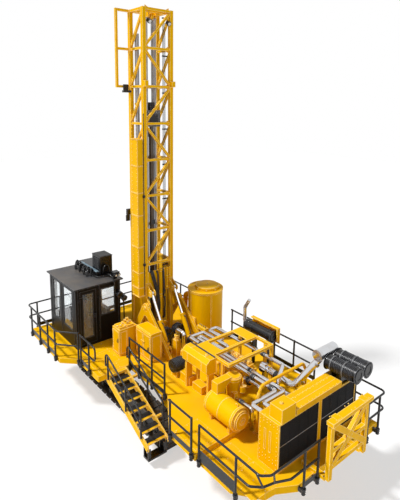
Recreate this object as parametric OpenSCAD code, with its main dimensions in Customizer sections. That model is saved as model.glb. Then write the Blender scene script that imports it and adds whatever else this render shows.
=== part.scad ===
// Blasthole drilling rig: crawler-mounted diesel rotary drill with a tilting lattice mast.
// Millimetres. +X runs from the drill and cab end to the radiator end, the stairs are on the -Y side, +Z is up.
// The origin is on the ground under the centre of the whole machine.

/* [Deck] */
// Height of the deck walking surface above the ground
deck_z = 2000; // [1900:10:2200]
// Drop from the main deck to the rear deck
rear_drop = 150; // [80:10:220]
// Depth of the yellow fascia round the deck
fascia_h = 200; // [140:10:260]
// Thickness of the fascia plates
fascia_t = 50; // [30:5:80]
// Thickness of the deck plate
plate_t = 40; // [20:5:60]
// Distance from the mast axis to the front edge of the deck
front_len = 3230; // [3150:10:3500]
// Distance from the mast axis to the rear edge of the deck
rear_len = 8870; // [8800:10:8950]
// Outer edge of the cab walkway, from the machine's centre line
walk_y = 3500; // [3400:10:3700]
// Outer edge of the rest of the deck, from the machine's centre line
side_y = 2600; // [2550:10:2700]

/* [Guard rails] */
// Height of the top rail above the deck
rail_h = 1100; // [1000:10:1200]
// Height of the middle rail above the deck
mid_h = 560; // [450:10:650]
// Diameter of the rails
rail_d = 60; // [50:2:64]
// Height of the toe boards
toe_h = 150; // [100:10:200]
// Height of the board at the near rear rail
board_h = 330; // [250:10:400]
// Distance of the rail centre line outside the deck edge
rail_off = 70; // [60:5:90]
// The same distance at the rear end of the deck
rear_off = 150; // [120:10:180]

/* [Crawlers] */
// Overall length of each crawler
track_len = 7000; // [6800:50:7200]
// Overall height of each crawler
track_h = 950; // [900:10:1000]
// Width of the track shoes
shoe_w = 650; // [550:10:700]
// Distance from the centre line to the middle of each crawler
track_y = 1530; // [1500:10:1600]
// Thickness of the track belt
belt_t = 90; // [70:5:110]
// Number of track shoes round each crawler
shoes = 42; // [36:2:48]

/* [Mast] */
// Height of the mast top above the ground
mast_top = 14730; // [14600:10:14900]
// Width of the mast across its side faces
mast_w = 1350; // [1300:10:1400]
// Depth of the mast from drill side to rear face
mast_d = 1040; // [1000:10:1100]
// Size of the square corner columns
col = 145; // [120:5:150]
// Size of the bracing bars
brace = 90; // [70:5:95]
// Height of one lattice bay
bay = 1370; // [1340:5:1375]
// Number of lattice bays
bays = 7; // [6:1:7]
// Distance of the mast centre line from the machine's centre line
mast_y = 380; // [340:10:420]
// Clearance of the mast foot above the deck
foot_gap = 100; // [80:10:150]

/* [Mast pivot and lift cylinders] */
// Height of the mast pivot above the deck
pivot_h = 1500; // [1450:10:1550]
// Distance of the mast pivot behind the rear face of the mast
pivot_back = 250; // [220:10:280]
// Diameter of the mast pivot pins
pivot_d = 160; // [120:5:200]
// Radial running clearance of pins in their bores
run_gap = 0.05; // [0.02:0.01:0.09]
// Outer diameter of the lift cylinder barrels
barrel_d = 190; // [160:5:200]
// Diameter of the lift cylinder rods
lift_rod_d = 110; // [80:5:120]
// Length of the lift cylinder barrels from the base pin
barrel_len = 1055; // [1020:5:1060]
// Diameter of the lift cylinder base pins
lift_pin_d = 80; // [60:5:100]

/* [Drill string] */
// Diameter of the drill pipe
pipe_d = 200; // [150:5:230]
// Diameter of the guide tubes that the rotary head runs on
guide_d = 100; // [80:5:110]
// Height of the rotary head's underside above the deck
head_z = 8450; // [8300:50:8600]
// Side clearance of the rotary head on its guides
head_gap = 6; // [5:1:10]

/* [Cab] */
// Length of the cab along the machine
cab_l = 2470; // [2400:10:2550]
// Width of the cab
cab_w = 1900; // [1850:10:1950]
// Height of the cab above the deck
cab_h = 2440; // [2380:10:2500]
// Thickness of the cab walls
cab_t = 60; // [50:5:80]
// Gap round the cab door
door_gap = 8; // [6:1:12]

/* [Power pack] */
// Height of the valve cabinet
cabinet_h = 1100; // [1000:10:1200]
// Diameter of the dust collector
dust_d = 1400; // [1300:10:1440]
// Height of the dust collector
dust_h = 2000; // [1900:10:2100]
// Diameter of the receiver tank
receiver_d = 710; // [660:10:740]
// Height of the canopy frame above the deck
canopy_h = 1450; // [1400:10:1480]
// Height of the cooler above the main deck
cooler_h = 1260; // [1230:10:1300]
// Thickness of the cooler
cooler_t = 710; // [680:10:740]
// Width of the cooler
cooler_w = 3450; // [3350:10:3500]
// Height of the mast rest above the main deck
rest_h = 1600; // [1580:5:1610]

/* [Stairs] */
// Number of stair treads
treads = 7; // [6:1:7]
// Rise from one tread to the next
rise = 165; // [160:1:175]
// Run from one tread to the next
run = 355; // [340:5:365]
// Width of the stairs over the stringers
stair_w = 780; // [700:10:820]

/* [Hidden] */
$fn = 48;
// Colours.
yellow = "gold"; black = "#1c1c1e"; steel = "silver"; grey = "dimgray";
// The mast axis is this far in front of the working frame's zero; all parts are laid out in that frame.
mast_x = -2970;
beam_w = 300; beam_y = [mast_y - 480 - beam_w, mast_y + 480];
front_x = mast_x - front_len;
rear_x = mast_x + rear_len;
far_y = side_y + 50;
rear_z = deck_z - rear_drop;
// Mast faces.
mx0 = mast_x - mast_d / 2;
mx1 = mast_x + mast_d / 2;
my0 = mast_y - mast_w / 2;
my1 = mast_y + mast_w / 2;
foot_z = deck_z + foot_gap;
lattice_z = mast_top - brace / 2 - bays * bay;
// Mast pivot.
pvx = mx1 + pivot_back;
pvz = deck_z + pivot_h;
// Lift cylinders: eye and base pin in the X-Z plane.
eye_x = pvx + 20; eye_z = pvz + 530;
base_x = pvx + 1110; base_z = pvz - 1300;
lift_len = sqrt(pow(base_x - eye_x, 2) + pow(eye_z - base_z, 2));
lift_a = atan2(eye_x - base_x, eye_z - base_z);
lift_y = [my0 + 145, my1 - 145];
// Outside of the whole machine, which sets the origin.
rest_x1 = rear_x + 550;
socket_d = 100;
out_x0 = front_x - rail_off - socket_d / 2;
out_y0 = -walk_y - rail_off - socket_d / 2;
out_y1 = far_y + rail_off + socket_d / 2;
ox = -(out_x0 + rest_x1) / 2;
oy = -(out_y0 + out_y1) / 2;

module placed() translate([ox, oy, 0]) children();
// Straight tube between two points.
module tube(a, b, d, f = 12) {
  v = b - a; l = norm(v);
  translate(a) rotate([0, acos(v[2] / l), atan2(v[1], v[0])]) cylinder(d = d, h = l, $fn = f);
}
// Round pipe along a list of points, with true bends of radius r and a thin collar where each bend starts and ends.
function unit(v) = v / norm(v);
module pipe(pts, d, r, c = 4) {
  n = len(pts);
  dirs = [for (i = [0:n - 2]) unit(pts[i + 1] - pts[i])];
  ang = [for (i = [0:n - 1]) i == 0 || i == n - 1 ? 0 : acos(max(-1, min(1, dirs[i - 1] * dirs[i])))];
  tl = [for (a = ang) r * tan(a / 2)];
  for (i = [0:n - 2]) tube(pts[i] + dirs[i] * tl[i], pts[i + 1] - dirs[i] * tl[i + 1], d, 32);
  if (n > 2) for (i = [1:n - 2]) {
    u = dirs[i - 1]; v = (dirs[i] - u * cos(ang[i])) / sin(ang[i]); w = cross(-v, u);
    q = pts[i] - u * tl[i] + v * r; e = pts[i] + dirs[i] * tl[i];
    multmatrix([[-v[0], u[0], w[0], q[0]], [-v[1], u[1], w[1], q[1]], [-v[2], u[2], w[2], q[2]]])
      rotate_extrude(angle = ang[i], $fn = 48) translate([r, 0]) circle(d = d, $fn = 32);
    for (k = [[pts[i] - u * tl[i], u], [e, dirs[i]]]) tube(k[0] - k[1] * (d / 5), k[0] + k[1] * (d / 5), d + c, 32);
  }
}
// Square bar between two points, w across and h deep.
module bar(a, b, w, h) {
  v = b - a; l = norm(v);
  translate(a) rotate([0, acos(v[2] / l), atan2(v[1], v[0])]) translate([-h / 2, -w / 2, 0]) cube([h, w, l]);
}
module box(a, b) translate(a) cube(b - a);
// Upright plate along the line a-b, thickness t to the left of the line.
module wall(a, b, z0, h, t, e = 0) {
  v = b - a; l = norm(v);
  translate([a[0], a[1], z0]) rotate([0, 0, atan2(v[1], v[0])]) translate([-e, 0, 0]) cube([l + 2 * e, t, h]);
}

// Plan outlines of the two deck levels, counter-clockwise.
cab_x0 = front_x + 300; cab_x1 = cab_x0 + cab_l; cab_end = cab_x1 + 130;
bay_x0 = -1300; bay_x1 = 1000; bay_y = track_y + 140; mid_y = 2950;
step_x = 3600; front2_x = front_x + 400; rear_y = side_y - 130;
deck_pts = [[front_x, -walk_y], [cab_end, -walk_y], [cab_end + (walk_y - mid_y), -mid_y], [bay_x0, -mid_y],
  [bay_x0, -bay_y], [bay_x1, -bay_y], [2400, -side_y], [step_x, -side_y], [step_x, far_y],
  [front2_x, far_y], [front2_x, -600], [front_x, -600]];
seam = 1;
rear_pts = [[step_x + seam, -rear_y], [rear_x - 1050, -rear_y], [rear_x - 580, -2110], [rear_x - 350, -1940], [rear_x - 310, -1610],
  [rear_x, -1090], [rear_x, far_y], [step_x + seam, far_y]];
well = 360;

// A counter-clockwise outline moved inwards by d, with mitred corners.
function inset(pts, d) = let (n = len(pts)) [for (i = [0:n - 1]) let (a = pts[(i + n - 1) % n], b = pts[i], c = pts[(i + 1) % n],
  u = unit(b - a), v = unit(c - b), nu = [-u[1], u[0]], nv = [-v[1], v[0]], m = nu + nv) b + m * (2 * d / (m * m))];
module fascia(pts, z) translate([0, 0, z - fascia_h]) linear_extrude(fascia_h) difference() { polygon(pts); polygon(inset(pts, fascia_t)); }

module main_frame() placed() color(yellow) {
  // Two box beams under the deck, cross members and the crawler saddles.
  for (y = beam_y) box([front_x + 600, y, deck_z - 620], [rear_x - 350, y + beam_w, deck_z - fascia_h]);
  for (x = [-5200, -1200, 1700, 3300, 5000]) box([x, -1150, deck_z - 520], [x + 260, beam_y[1] + beam_w, deck_z - fascia_h]);
  // Axles that carry the crawlers.
  for (x = [-4500, -100]) {
    box([x, -track_y + shoe_w / 2 + 40, deck_z - 1000], [x + 420, track_y - shoe_w / 2 - 40, deck_z - 620]);
    for (s = [-1, 1]) scale([1, s, 1]) {
      box([x, track_y - shoe_w / 2 - 220, 330], [x + 420, track_y - shoe_w / 2 - 40, deck_z - 1000]);
      box([x + 60, track_y - shoe_w / 2 - 60, 380], [x + 360, track_y - 150, 600]);
    }
  }
}
module deck() placed() color(yellow) {
  difference() {
    translate([0, 0, deck_z - plate_t]) linear_extrude(plate_t) polygon(deck_pts);
    box([mast_x - well, mast_y - well, 0], [mast_x + well, mast_y + well, deck_z + 10]);
  }
  fascia(deck_pts, deck_z);
  // Floor beams between the deck plate and the main frame.
  for (x = [-5400, -4300, -1900, -600, 700, 2000, 3200])
    box([x, -1600, deck_z - fascia_h], [x + 120, far_y - fascia_t, deck_z - plate_t]);
}
module rear_deck() placed() color(yellow) {
  translate([0, 0, rear_z - plate_t]) linear_extrude(plate_t) polygon(rear_pts);
  // The fascia is notched where the two box beams pass under the step.
  difference() {
    fascia(rear_pts, rear_z);
    for (y = beam_y) box([step_x, y - 5, rear_z - fascia_h - 1], [step_x + fascia_t + 10, y + beam_w + 5, deck_z - fascia_h + 5]);
  }
}

// ---- Crawlers ----
track_x = -2200;
drum_r = track_h / 2 - belt_t;
// Outline of the track loop at a distance r from the two end wheels' centres.
module loop_2d(r) {
  c = track_len / 2 - track_h / 2;
  for (s = [-1, 1]) translate([s * c, 0]) circle(r = r, $fn = 64);
  square([2 * c, 2 * r], center = true);
}
module crawler_frame(s) placed() translate([track_x, s * track_y, track_h / 2]) {
  c = track_len / 2 - track_h / 2;
  color(black) {
    // Side frame, drive sprocket, idler and the bottom and top rollers.
    translate([-c + 420, -150, -190]) cube([2 * c - 840, 300, 380]);
    translate([-c, -70, -110]) cube([440, 140, 220]);
    translate([c - 440, -70, -110]) cube([440, 140, 220]);
    for (x = [-c, c]) translate([x, 0, 0]) rotate([90, 0, 0]) {
      difference() { cylinder(r = drum_r, h = 260, center = true); 
        for (z = [-1, 1]) translate([0, 0, z * 120]) cylinder(r = drum_r - 80, h = 60, center = true); }
      cylinder(r = 130, h = 420, center = true);
    }
    nr = 9;
    for (i = [0:nr - 1]) translate([-c + 520 + i * (2 * c - 1040) / (nr - 1), 0, -drum_r + 105]) rotate([90, 0, 0])
      cylinder(d = 210, h = 380, center = true);
    for (x = [-c / 2, 0, c / 2]) translate([x, 0, drum_r - 100]) {
      rotate([90, 0, 0]) cylinder(d = 200, h = 300, center = true);
    }
  }
}
module crawler_track(s) placed() translate([track_x, s * track_y, track_h / 2]) color(black) {
  c = track_len / 2 - track_h / 2;
  r0 = track_h / 2;
  belt = belt_t - 40;
  rotate([90, 0, 0]) linear_extrude(shoe_w - 60, center = true) difference() { loop_2d(r0 - 40); loop_2d(r0 - 40 - belt); }
  // Grouser shoes: straight runs, then the two round ends.
  pitch = (2 * c * 2 + 2 * PI * r0) / shoes;
  ns = floor(2 * c / pitch);
  for (i = [0:ns - 1]) for (z = [-1, 1])
    translate([-c + (i + 0.5) * 2 * c / ns, 0, z * (r0 - 20)]) cube([pitch * 0.8, shoe_w, 40], center = true);
  na = round(PI * r0 / pitch);
  for (s = [-1, 1]) for (i = [0:na - 1]) translate([s * c, 0, 0])
    rotate([0, s * (180 * (i + 0.5) / na), 0]) translate([0, 0, r0 - 40]) cube([pitch * 0.72, shoe_w, 40], center = true);
}

// ---- Stairs ----
st_y1 = -(track_y + shoe_w / 2 + 25); st_y0 = st_y1 - stair_w;
st_x0 = bay_x0 + 120; st_z0 = deck_z - 60;
st_slope = rise / run;
function st_z(x) = st_z0 - (x - st_x0) * st_slope;
st_x1 = st_x0 + treads * run + 60;
module stairs() placed() {
  color(yellow) {
    for (y = [st_y0, st_y1 - 40]) translate([0, y + 40, 0]) rotate([90, 0, 0]) linear_extrude(40)
      polygon([[bay_x0 + 5, st_z0 - 180], [bay_x0 + 5, st_z0 + 60], [st_x0, st_z0 + 60], [st_x1, st_z(st_x1) + 60], [st_x1, st_z(st_x1) - 110], [st_x1 - 60, st_z(st_x1) - 150]]);
    for (i = [1:treads]) translate([st_x0 + (i - 1) * run + 40, st_y0 + 40, st_z0 - i * rise]) cube([run - 60, stair_w - 80, 35]);
    box([bay_x0 + 5, st_y0 + 40, st_z0 + 10], [st_x0 + 30, st_y1 - 40, st_z0 + 50]);
    // Two hangers carry the stairs from the deck edge.
    for (x = [-900, 600]) box([x, st_y1, st_z(x) - 60], [x + 80, -bay_y, st_z(x) + 20]);
  }
  color(black) {
    for (y = [st_y0 + 40, st_y1 - 140]) for (x = [st_x1 - 330, st_x1 - 90]) box([x, y, st_z(st_x1) - 460], [x + 30, y + 100, st_z(st_x1) - 110]);
    box([st_x1 - 340, st_y0 + 40, st_z(st_x1) - 500], [st_x1 - 40, st_y1 - 40, st_z(st_x1) - 440]);
  }
}

// ---- Guard rails ----
post_d = rail_d + 8;
bend = 150;
// Rail along a list of plan points at height z.
module rail(pts, z) pipe([for (p = pts) [p[0], p[1], z]], rail_d, bend, 3);
// Post with its round socket on the fascia; n points from the deck edge to the post.
module post(p, z, h, n, off = rail_off) {
  translate([p[0], p[1], z - 150]) cylinder(d = post_d, h = h + 150, $fn = 32);
  translate([p[0], p[1], z - 170]) cylinder(d = socket_d, h = 150, $fn = 32);
  a = atan2(n[1], n[0]);
  translate([p[0], p[1], z - 150]) rotate([0, 0, a]) translate([-off, -30, 0]) cube([off, 60, 110]);
}
module toe(a, b, z) wall(a, b, z + 10, toe_h, 10);
ro = rail_off;
rz = rail_h - rail_d / 2;
front_in = front2_x - ro;
fr = [[front_in, far_y + ro - 200], [front_in, -670], [front_x - ro, -670], [front_x - ro, -walk_y - ro],
  [cab_end - 20, -walk_y - ro], [cab_end + (walk_y - mid_y) + 45, -mid_y - ro]];
module rails_front() placed() color(black) {
  rail(fr, deck_z + rz);
  rail(fr, deck_z + mid_h);
  for (y = [far_y - 130, 1500, 300, -450]) post([front_in, y], deck_z, rz, [-1, 0]);
  for (y = [-1000, -2200, -3200]) post([front_x - ro, y], deck_z, rz, [-1, 0]);
  for (x = [front_x + 300, front_x + 1200, -4200, -3500]) post([x, -walk_y - ro], deck_z, rz, [0, -1]);
  translate([fr[5][0], fr[5][1], deck_z - 150]) cylinder(d = post_d, h = rail_h + 156, $fn = 32);
  post(fr[5], deck_z, mid_h, [0, -1]);
  toe([front_in, far_y - 130], [front_in, -450], deck_z);
  toe([front_x - ro, -1000], [front_x - ro, -3200], deck_z);
  toe([front_x + 300, -walk_y - ro], [-3500, -walk_y - ro], deck_z);
}
inn_y = -bay_y - ro;
rn_x = fr[5][0] + 145; rn_x1 = bay_x0 - 60;
module rails_near() placed() color(black) {
  // Beside the cabinets, up to the head of the stairs: the rail turns down into the middle rail.
  pipe([[rn_x, -mid_y - ro, deck_z + rz], [rn_x1, -mid_y - ro, deck_z + rz], [rn_x1, -mid_y - ro, deck_z + mid_h], [rn_x, -mid_y - ro, deck_z + mid_h]], rail_d, bend, 3);
  for (x = [rn_x + 60, bay_x0 - 550]) post([x, -mid_y - ro], deck_z, rz, [0, -1]);
  toe([rn_x + 60, -mid_y - ro], [bay_x0 - 550, -mid_y - ro], deck_z);
  // Along the inner side of the stair well.
  for (z = [rz, mid_h]) rail([[bay_x0 + 60, inn_y], [bay_x1 - 60, inn_y]], deck_z + z);
  for (x = [bay_x0 + 60, -600, 200, bay_x1 - 60]) post([x, inn_y], deck_z, rz + rail_d / 2, [0, -1]);
  toe([bay_x0 + 60, inn_y], [bay_x1 - 60, inn_y], deck_z);
  // From the stair well back to the change of level.
  for (z = [rz, mid_h]) rail([[2480, -side_y - ro], [step_x - 80, -side_y - ro]], deck_z + z);
  for (x = [2540, step_x - 80]) post([x, -side_y - ro], deck_z, rz + rail_d / 2, [0, -1]);
  toe([2540, -side_y - ro], [step_x - 80, -side_y - ro], deck_z);
}
// Rear rails: the top one keeps its square corner, the middle one cuts across it.
rx = rear_x + rear_off; ry = -rear_y - ro; rear_p = rear_x - 790;
rr = [[step_x + 90, ry], [rx - 160, ry], [rx, ry + 220], [rx, -480]];
rm = [[step_x + 90, ry], [rx - 490, ry], [rx - 260, -2300], [rx - 180, -1980], [rx, -1600], [rx, -480]];
module rails_rear() placed() color(black) {
  rail(rr, rear_z + rz);
  rail(rm, rear_z + mid_h);
  for (x = [step_x + 90, rear_p]) post([x, ry], rear_z, rz, [0, -1]);
  for (y = [-1080, -520]) post([rx, y], rear_z, rz, [1, 0], rear_off);
  // Two short ties between the rails at the corner.
  for (p = [[rx - 280, ry, rx - 260, -2300], [rx, -2230, rx - 180, -1980]])
    tube([p[0], p[1], rear_z + rz], [p[2], p[3], rear_z + mid_h], rail_d - 8, 32);
  // A taller board closes the near side.
  wall([step_x + 90, ry], [rear_p, ry], rear_z + 10, board_h, 12);
  toe([rx, -1080], [rx, -520], rear_z);
  // Rear far corner.
  rf = [[rx, 1720], [rx, far_y + ro], [4950, far_y + ro]];
  rail(rf, rear_z + rz);
  rail(rf, rear_z + mid_h);
  for (y = [1800, far_y - 250]) post([rx, y], rear_z, rz, [1, 0], rear_off);
  post([5050, far_y + ro], rear_z, rz, [0, 1]);
  rails_far();
}
module rails_far()
  for (s = [[front2_x + 500, -3000], [-700, 800], [1600, step_x - 60]]) {
    for (z = [rz, mid_h]) rail([[s[0], far_y + ro], [s[1], far_y + ro]], deck_z + z);
    for (x = [s[0] + 60, (s[0] + s[1]) / 2, s[1] - 60]) post([x, far_y + ro], deck_z, rz + rail_d / 2, [0, 1]);
    toe([s[1] - 60, far_y + ro], [s[0] + 60, far_y + ro], deck_z);
  }
module stair_handrails() placed() color(black) {
  // One bent rail on each side of the stairs, on three posts bolted to the stringers.
  for (y = [st_y0 - post_d / 2, st_y1 + post_d / 2]) {
    a = st_x0 - 60; b = st_x1 - 350;
    pipe([[a, y, st_z(a) + 400], [a, y, st_z(a) + 900], [b, y, st_z(b) + 900], [b, y, st_z(b) + 60]], rail_d, 120, 3);
    pipe([[a, y, st_z(a) + 480], [b, y, st_z(b) + 480]], rail_d - 6, 120);
    for (x = [st_x0 + 100, (st_x0 + st_x1) / 2])
      translate([x, y, st_z(x) + 20]) cylinder(d = post_d, h = 880, $fn = 32);
    translate([b, y, st_z(b) + 20]) cylinder(d = post_d, h = 240, $fn = 32);
  }
}

// ---- Cab ----
cab_y0 = -2750; cab_y1 = cab_y0 + cab_w;
cab_z = deck_z; cab_top = deck_z + cab_h;
floor_t = 120; roof_t = 90; eave = 90; eave_t = 30;
door_y0 = cab_y0 + 180; door_y1 = cab_y0 + 840; door_z0 = cab_z + floor_t; door_z1 = cab_top - roof_t - 90;
module cab_shell() placed() color(black) difference() {
  union() {
    box([cab_x0, cab_y0, cab_z], [cab_x1, cab_y1, cab_top]);
    box([cab_x0 - eave, cab_y0 - eave, cab_top - eave_t], [cab_x1 + eave, cab_y1 + eave, cab_top]);
  }
  box([cab_x0 + cab_t, cab_y0 + cab_t, cab_z + floor_t], [cab_x1 - cab_t, cab_y1 - cab_t, cab_top - roof_t]);
  // Windows on the outer side.
  box([cab_x0 + 330, cab_y0 - 1, cab_z + 640], [cab_x0 + 1000, cab_y0 + cab_t + 1, cab_top - 200]);
  box([cab_x0 + 1300, cab_y0 - 1, cab_z + 640], [cab_x1 - 340, cab_y0 + cab_t + 1, cab_top - 200]);
  // Door opening and the window beside it in the rear wall.
  box([cab_x1 - cab_t - 1, door_y0, door_z0], [cab_x1 + 1, door_y1, door_z1]);
  box([cab_x1 - cab_t - 1, cab_y0 + 1040, cab_z + 1100], [cab_x1 + 1, cab_y0 + 1660, cab_top - 240]);
  // Drill-side and front windows.
  box([cab_x0 + 300, cab_y1 - cab_t - 1, cab_z + 640], [cab_x1 - 300, cab_y1 + 1, cab_top - 200]);
  box([cab_x0 - 1, cab_y0 + 250, cab_z + 640], [cab_x0 + cab_t + 1, cab_y1 - 250, cab_top - 200]);
}
// Door hinge line at the outer edge of the rear wall.
hinge_x = cab_x1 + 30; hinge_y = door_y0 - 30;
module cab_door() placed() {
  color(black) difference() {
    box([cab_x1 - cab_t + 5, door_y0 + door_gap, door_z0 + door_gap], [cab_x1 + 0, door_y1 - door_gap, door_z1 - door_gap]);
    box([cab_x1 - cab_t - 1, door_y0 + 110, door_z0 + 230], [cab_x1 + 1, door_y1 - 110, door_z1 - 120]);
  }
  color(black) for (z = [door_z0 + 200, door_z1 - 340]) {
    translate([hinge_x, hinge_y, z]) cylinder(d = 40, h = 140, $fn = 32);
    box([cab_x1, hinge_y, z + 20], [hinge_x, door_y0 + 100, z + 120]);
  }
  color(steel) translate([cab_x1, door_y1 - 90, door_z0 + 1000]) cube([60, 30, 160]);
}
seat_x = cab_x0 + 1200; seat_y = cab_y0 + 1250;
module cab_interior() placed() {
  color("darkolivegreen") {
    box([seat_x - 260, seat_y - 260, cab_z + 560], [seat_x + 260, seat_y + 260, cab_z + 680]);
    box([seat_x - 260, seat_y - 380, cab_z + 560], [seat_x + 260, seat_y - 260, cab_z + 1300]);
  }
  color(grey) {
    box([seat_x - 180, seat_y - 180, cab_z + floor_t], [seat_x + 180, seat_y + 180, cab_z + 560]);
    // Console round the drill-side windows.
    box([seat_x - 600, seat_y + 420, cab_z + floor_t], [seat_x + 500, cab_y1 - cab_t, cab_z + 900]);
    box([seat_x - 600, seat_y - 200, cab_z + floor_t], [seat_x - 420, seat_y + 420, cab_z + 1000]);
  }
}
module cab_aircon() placed() color(black) {
  box([cab_x0 + 60, cab_y1 - 700, cab_top], [cab_x1 - 600, cab_y1 - 10, cab_top + 210]);
  box([cab_x1 - 1270, cab_y1 - 550, cab_top + 210], [cab_x1 - 600, cab_y1 - 10, cab_top + 800]);
  // Work lamp bracket at the corner over the drill.
  box([cab_x1 - 120, cab_y1 - 240, cab_top], [cab_x1 - 60, cab_y1 - 100, cab_top + 120]);
  box([cab_x1 - 200, cab_y1 - 300, cab_top + 120], [cab_x1 + 60, cab_y1 - 40, cab_top + 300]);
}

// ---- Cabinets ----
module cabinet_controls() placed() color(yellow) {
  // Two cupboards with a gap between them, the far one a little lower.
  box([-2530, -1710, deck_z], [-2010, -1350, deck_z + 1030]);
  box([-2470, -1670, deck_z + 1030], [-2070, -1390, deck_z + 1100]);
  box([-2660, -1330, deck_z], [-2100, -900, deck_z + 980]);
  box([-2600, -1290, deck_z + 980], [-2160, -1010, deck_z + 1050]);
}
module cabinet_valves() placed() {
  color(yellow) difference() {
    box([-1890, -1070, deck_z], [-900, -570, deck_z + cabinet_h]);
    translate([0, -1070, deck_z + cabinet_h]) rotate([45, 0, 0]) cube([9000, 60, 60], center = true);
  }
  color(black) box([-1500, -1110, deck_z + 660], [-1300, -1070, deck_z + 700]);
}
module dust_collector() placed() color(yellow) {
  translate([-1450, 1950, deck_z]) {
    cylinder(d = dust_d, h = dust_h - 60, $fn = 64);
    translate([0, 0, dust_h - 60]) cylinder(d = dust_d + 40, h = 60, $fn = 64);
  }
}

// ---- Mast supports and lift cylinders ----
af_t = 90; af_gap = 75;
af_y = [my0 - af_gap - af_t, my1 + af_gap];
module a_frame() placed() color(yellow) {
  for (i = [0, 1]) translate([0, af_y[i] + af_t, 0]) rotate([90, 0, 0]) difference() {
    union() {
      linear_extrude(af_t) {
        difference() {
          polygon([[pvx - 180, pvz + 60], [pvx + 180, pvz + 60], [base_x + 680, deck_z], [mx0 + 150, deck_z]]);
          polygon([[pvx - 60, pvz - 330], [pvx + 60, pvz - 330], [base_x + 240, deck_z + 150], [mx0 + 560, deck_z + 150]]);
        }
      }
      translate([pvx, pvz, 0]) cylinder(d = pivot_d + 200, h = af_t);
    }
    translate([pvx, pvz, -1]) cylinder(d = pivot_d + 2 * run_gap, h = af_t + 2);
  }
  // Base lugs of the lift cylinders and the sill that joins the two sides.
  for (y = lift_y) for (s = [-1, 1]) translate([0, y + s * 75 + 20, 0]) rotate([90, 0, 0]) difference() {
    union() {
      linear_extrude(40) polygon([[base_x - 120, deck_z], [base_x + 120, deck_z], [base_x + 60, base_z + 30], [base_x - 60, base_z + 30]]);
      translate([base_x, base_z, 0]) cylinder(d = 150, h = 40);
    }
    translate([base_x, base_z, -1]) cylinder(d = lift_pin_d + 2 * run_gap, h = 42);
  }
}
// Lift cylinder laid along +Z from its base pin; the rod reaches this far down from its eye.
rod_in = 1255;
module lift_at(i) translate([base_x, lift_y[i], base_z]) rotate([0, lift_a, 0]) children();
module lift_barrel(i) placed() lift_at(i) color(yellow) {
  rotate([90, 0, 0]) cylinder(d = lift_pin_d, h = 2 * 95, center = true);
  difference() {
    union() {
      rotate([90, 0, 0]) cylinder(d = 150, h = 100, center = true);
      cylinder(d = 96, h = 115);
      translate([0, 0, 110]) cylinder(d = barrel_d, h = barrel_len - 110);
    }
    translate([0, 0, 130]) cylinder(d = lift_rod_d + 2 * run_gap, h = barrel_len);
  }
}
module lift_rod(i) placed() lift_at(i) {
  color(steel) translate([0, 0, lift_len - rod_in]) cylinder(d = lift_rod_d, h = rod_in - 60);
  color(steel) translate([0, 0, lift_len]) rotate([90, 0, 0]) difference() {
    cylinder(d = 170, h = 80, center = true);
    cylinder(d = 80, h = 82, center = true);
  }
}

// ---- Mast ----
module column_at(x, y) box([x, y, foot_z], [x + col, y + col, mast_top]);
// One side face: two columns, the bay rails and one diagonal a bay, with the plated foot.
module mast_side(y, s) {
  column_at(mx0, y); column_at(mx1 - col, y);
  yc = y + col / 2;
  for (i = [0:bays]) box([mx0 + col, yc - brace / 2, lattice_z + i * bay - brace / 2], [mx1 - col, yc + brace / 2, lattice_z + i * bay + brace / 2]);
  for (i = [0:bays - 1]) bar([mx1 - col / 2, yc, lattice_z + (i + 1) * bay - 40], [mx0 + col / 2, yc, lattice_z + i * bay + 40], brace - 6, brace - 6);
  box([mx0 + col, yc - 20, foot_z + 200], [mx1 - col, yc + 20, lattice_z]);
  box([mx0 + col, yc - brace / 2, foot_z], [mx1 - col, yc + brace / 2, foot_z + 200]);
  // Pivot lug behind the rear column, with its pin.
  ly = s < 0 ? y : y + col - 60;
  translate([0, ly + 60, 0]) rotate([90, 0, 0]) linear_extrude(60)
    polygon([[mx1, pvz - 420], [mx1, pvz + 420], [pvx + 60, pvz + 110], [pvx + 60, pvz - 110]]);
  translate([pvx, s < 0 ? af_y[0] - 20 : y + col - 60, pvz]) rotate([-90, 0, 0]) cylinder(d = pivot_d, h = s < 0 ? y + 60 - af_y[0] + 20 : af_y[1] + af_t + 20 - (y + col - 60));
  // Pad that lies just above the rest when the mast is down.
  box([mx1, y, pvz + rest_x1 - 210 - pvx], [mx1 + pivot_h + pivot_back - rest_h - 6, y + col, pvz + rest_x1 - pvx]);
}
// Clevis for the rod eye of one lift cylinder.
clevis_in = 62; clevis_t = 30;
module clevis(i) {
  y = lift_y[i];
  for (s = [-1, 1]) translate([0, y + s * (clevis_in + clevis_t / 2) + clevis_t / 2, 0]) rotate([90, 0, 0]) linear_extrude(clevis_t)
    union() {
      polygon([[mx1, eye_z - 160], [eye_x, eye_z - 140], [eye_x, eye_z + 140], [mx1, eye_z + 330]]);
      translate([eye_x, eye_z]) circle(r = 140);
    }
  box([mx1, y - clevis_in, eye_z + 100], [mx1 + 40, y + clevis_in, eye_z + 310]);
}
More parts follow.
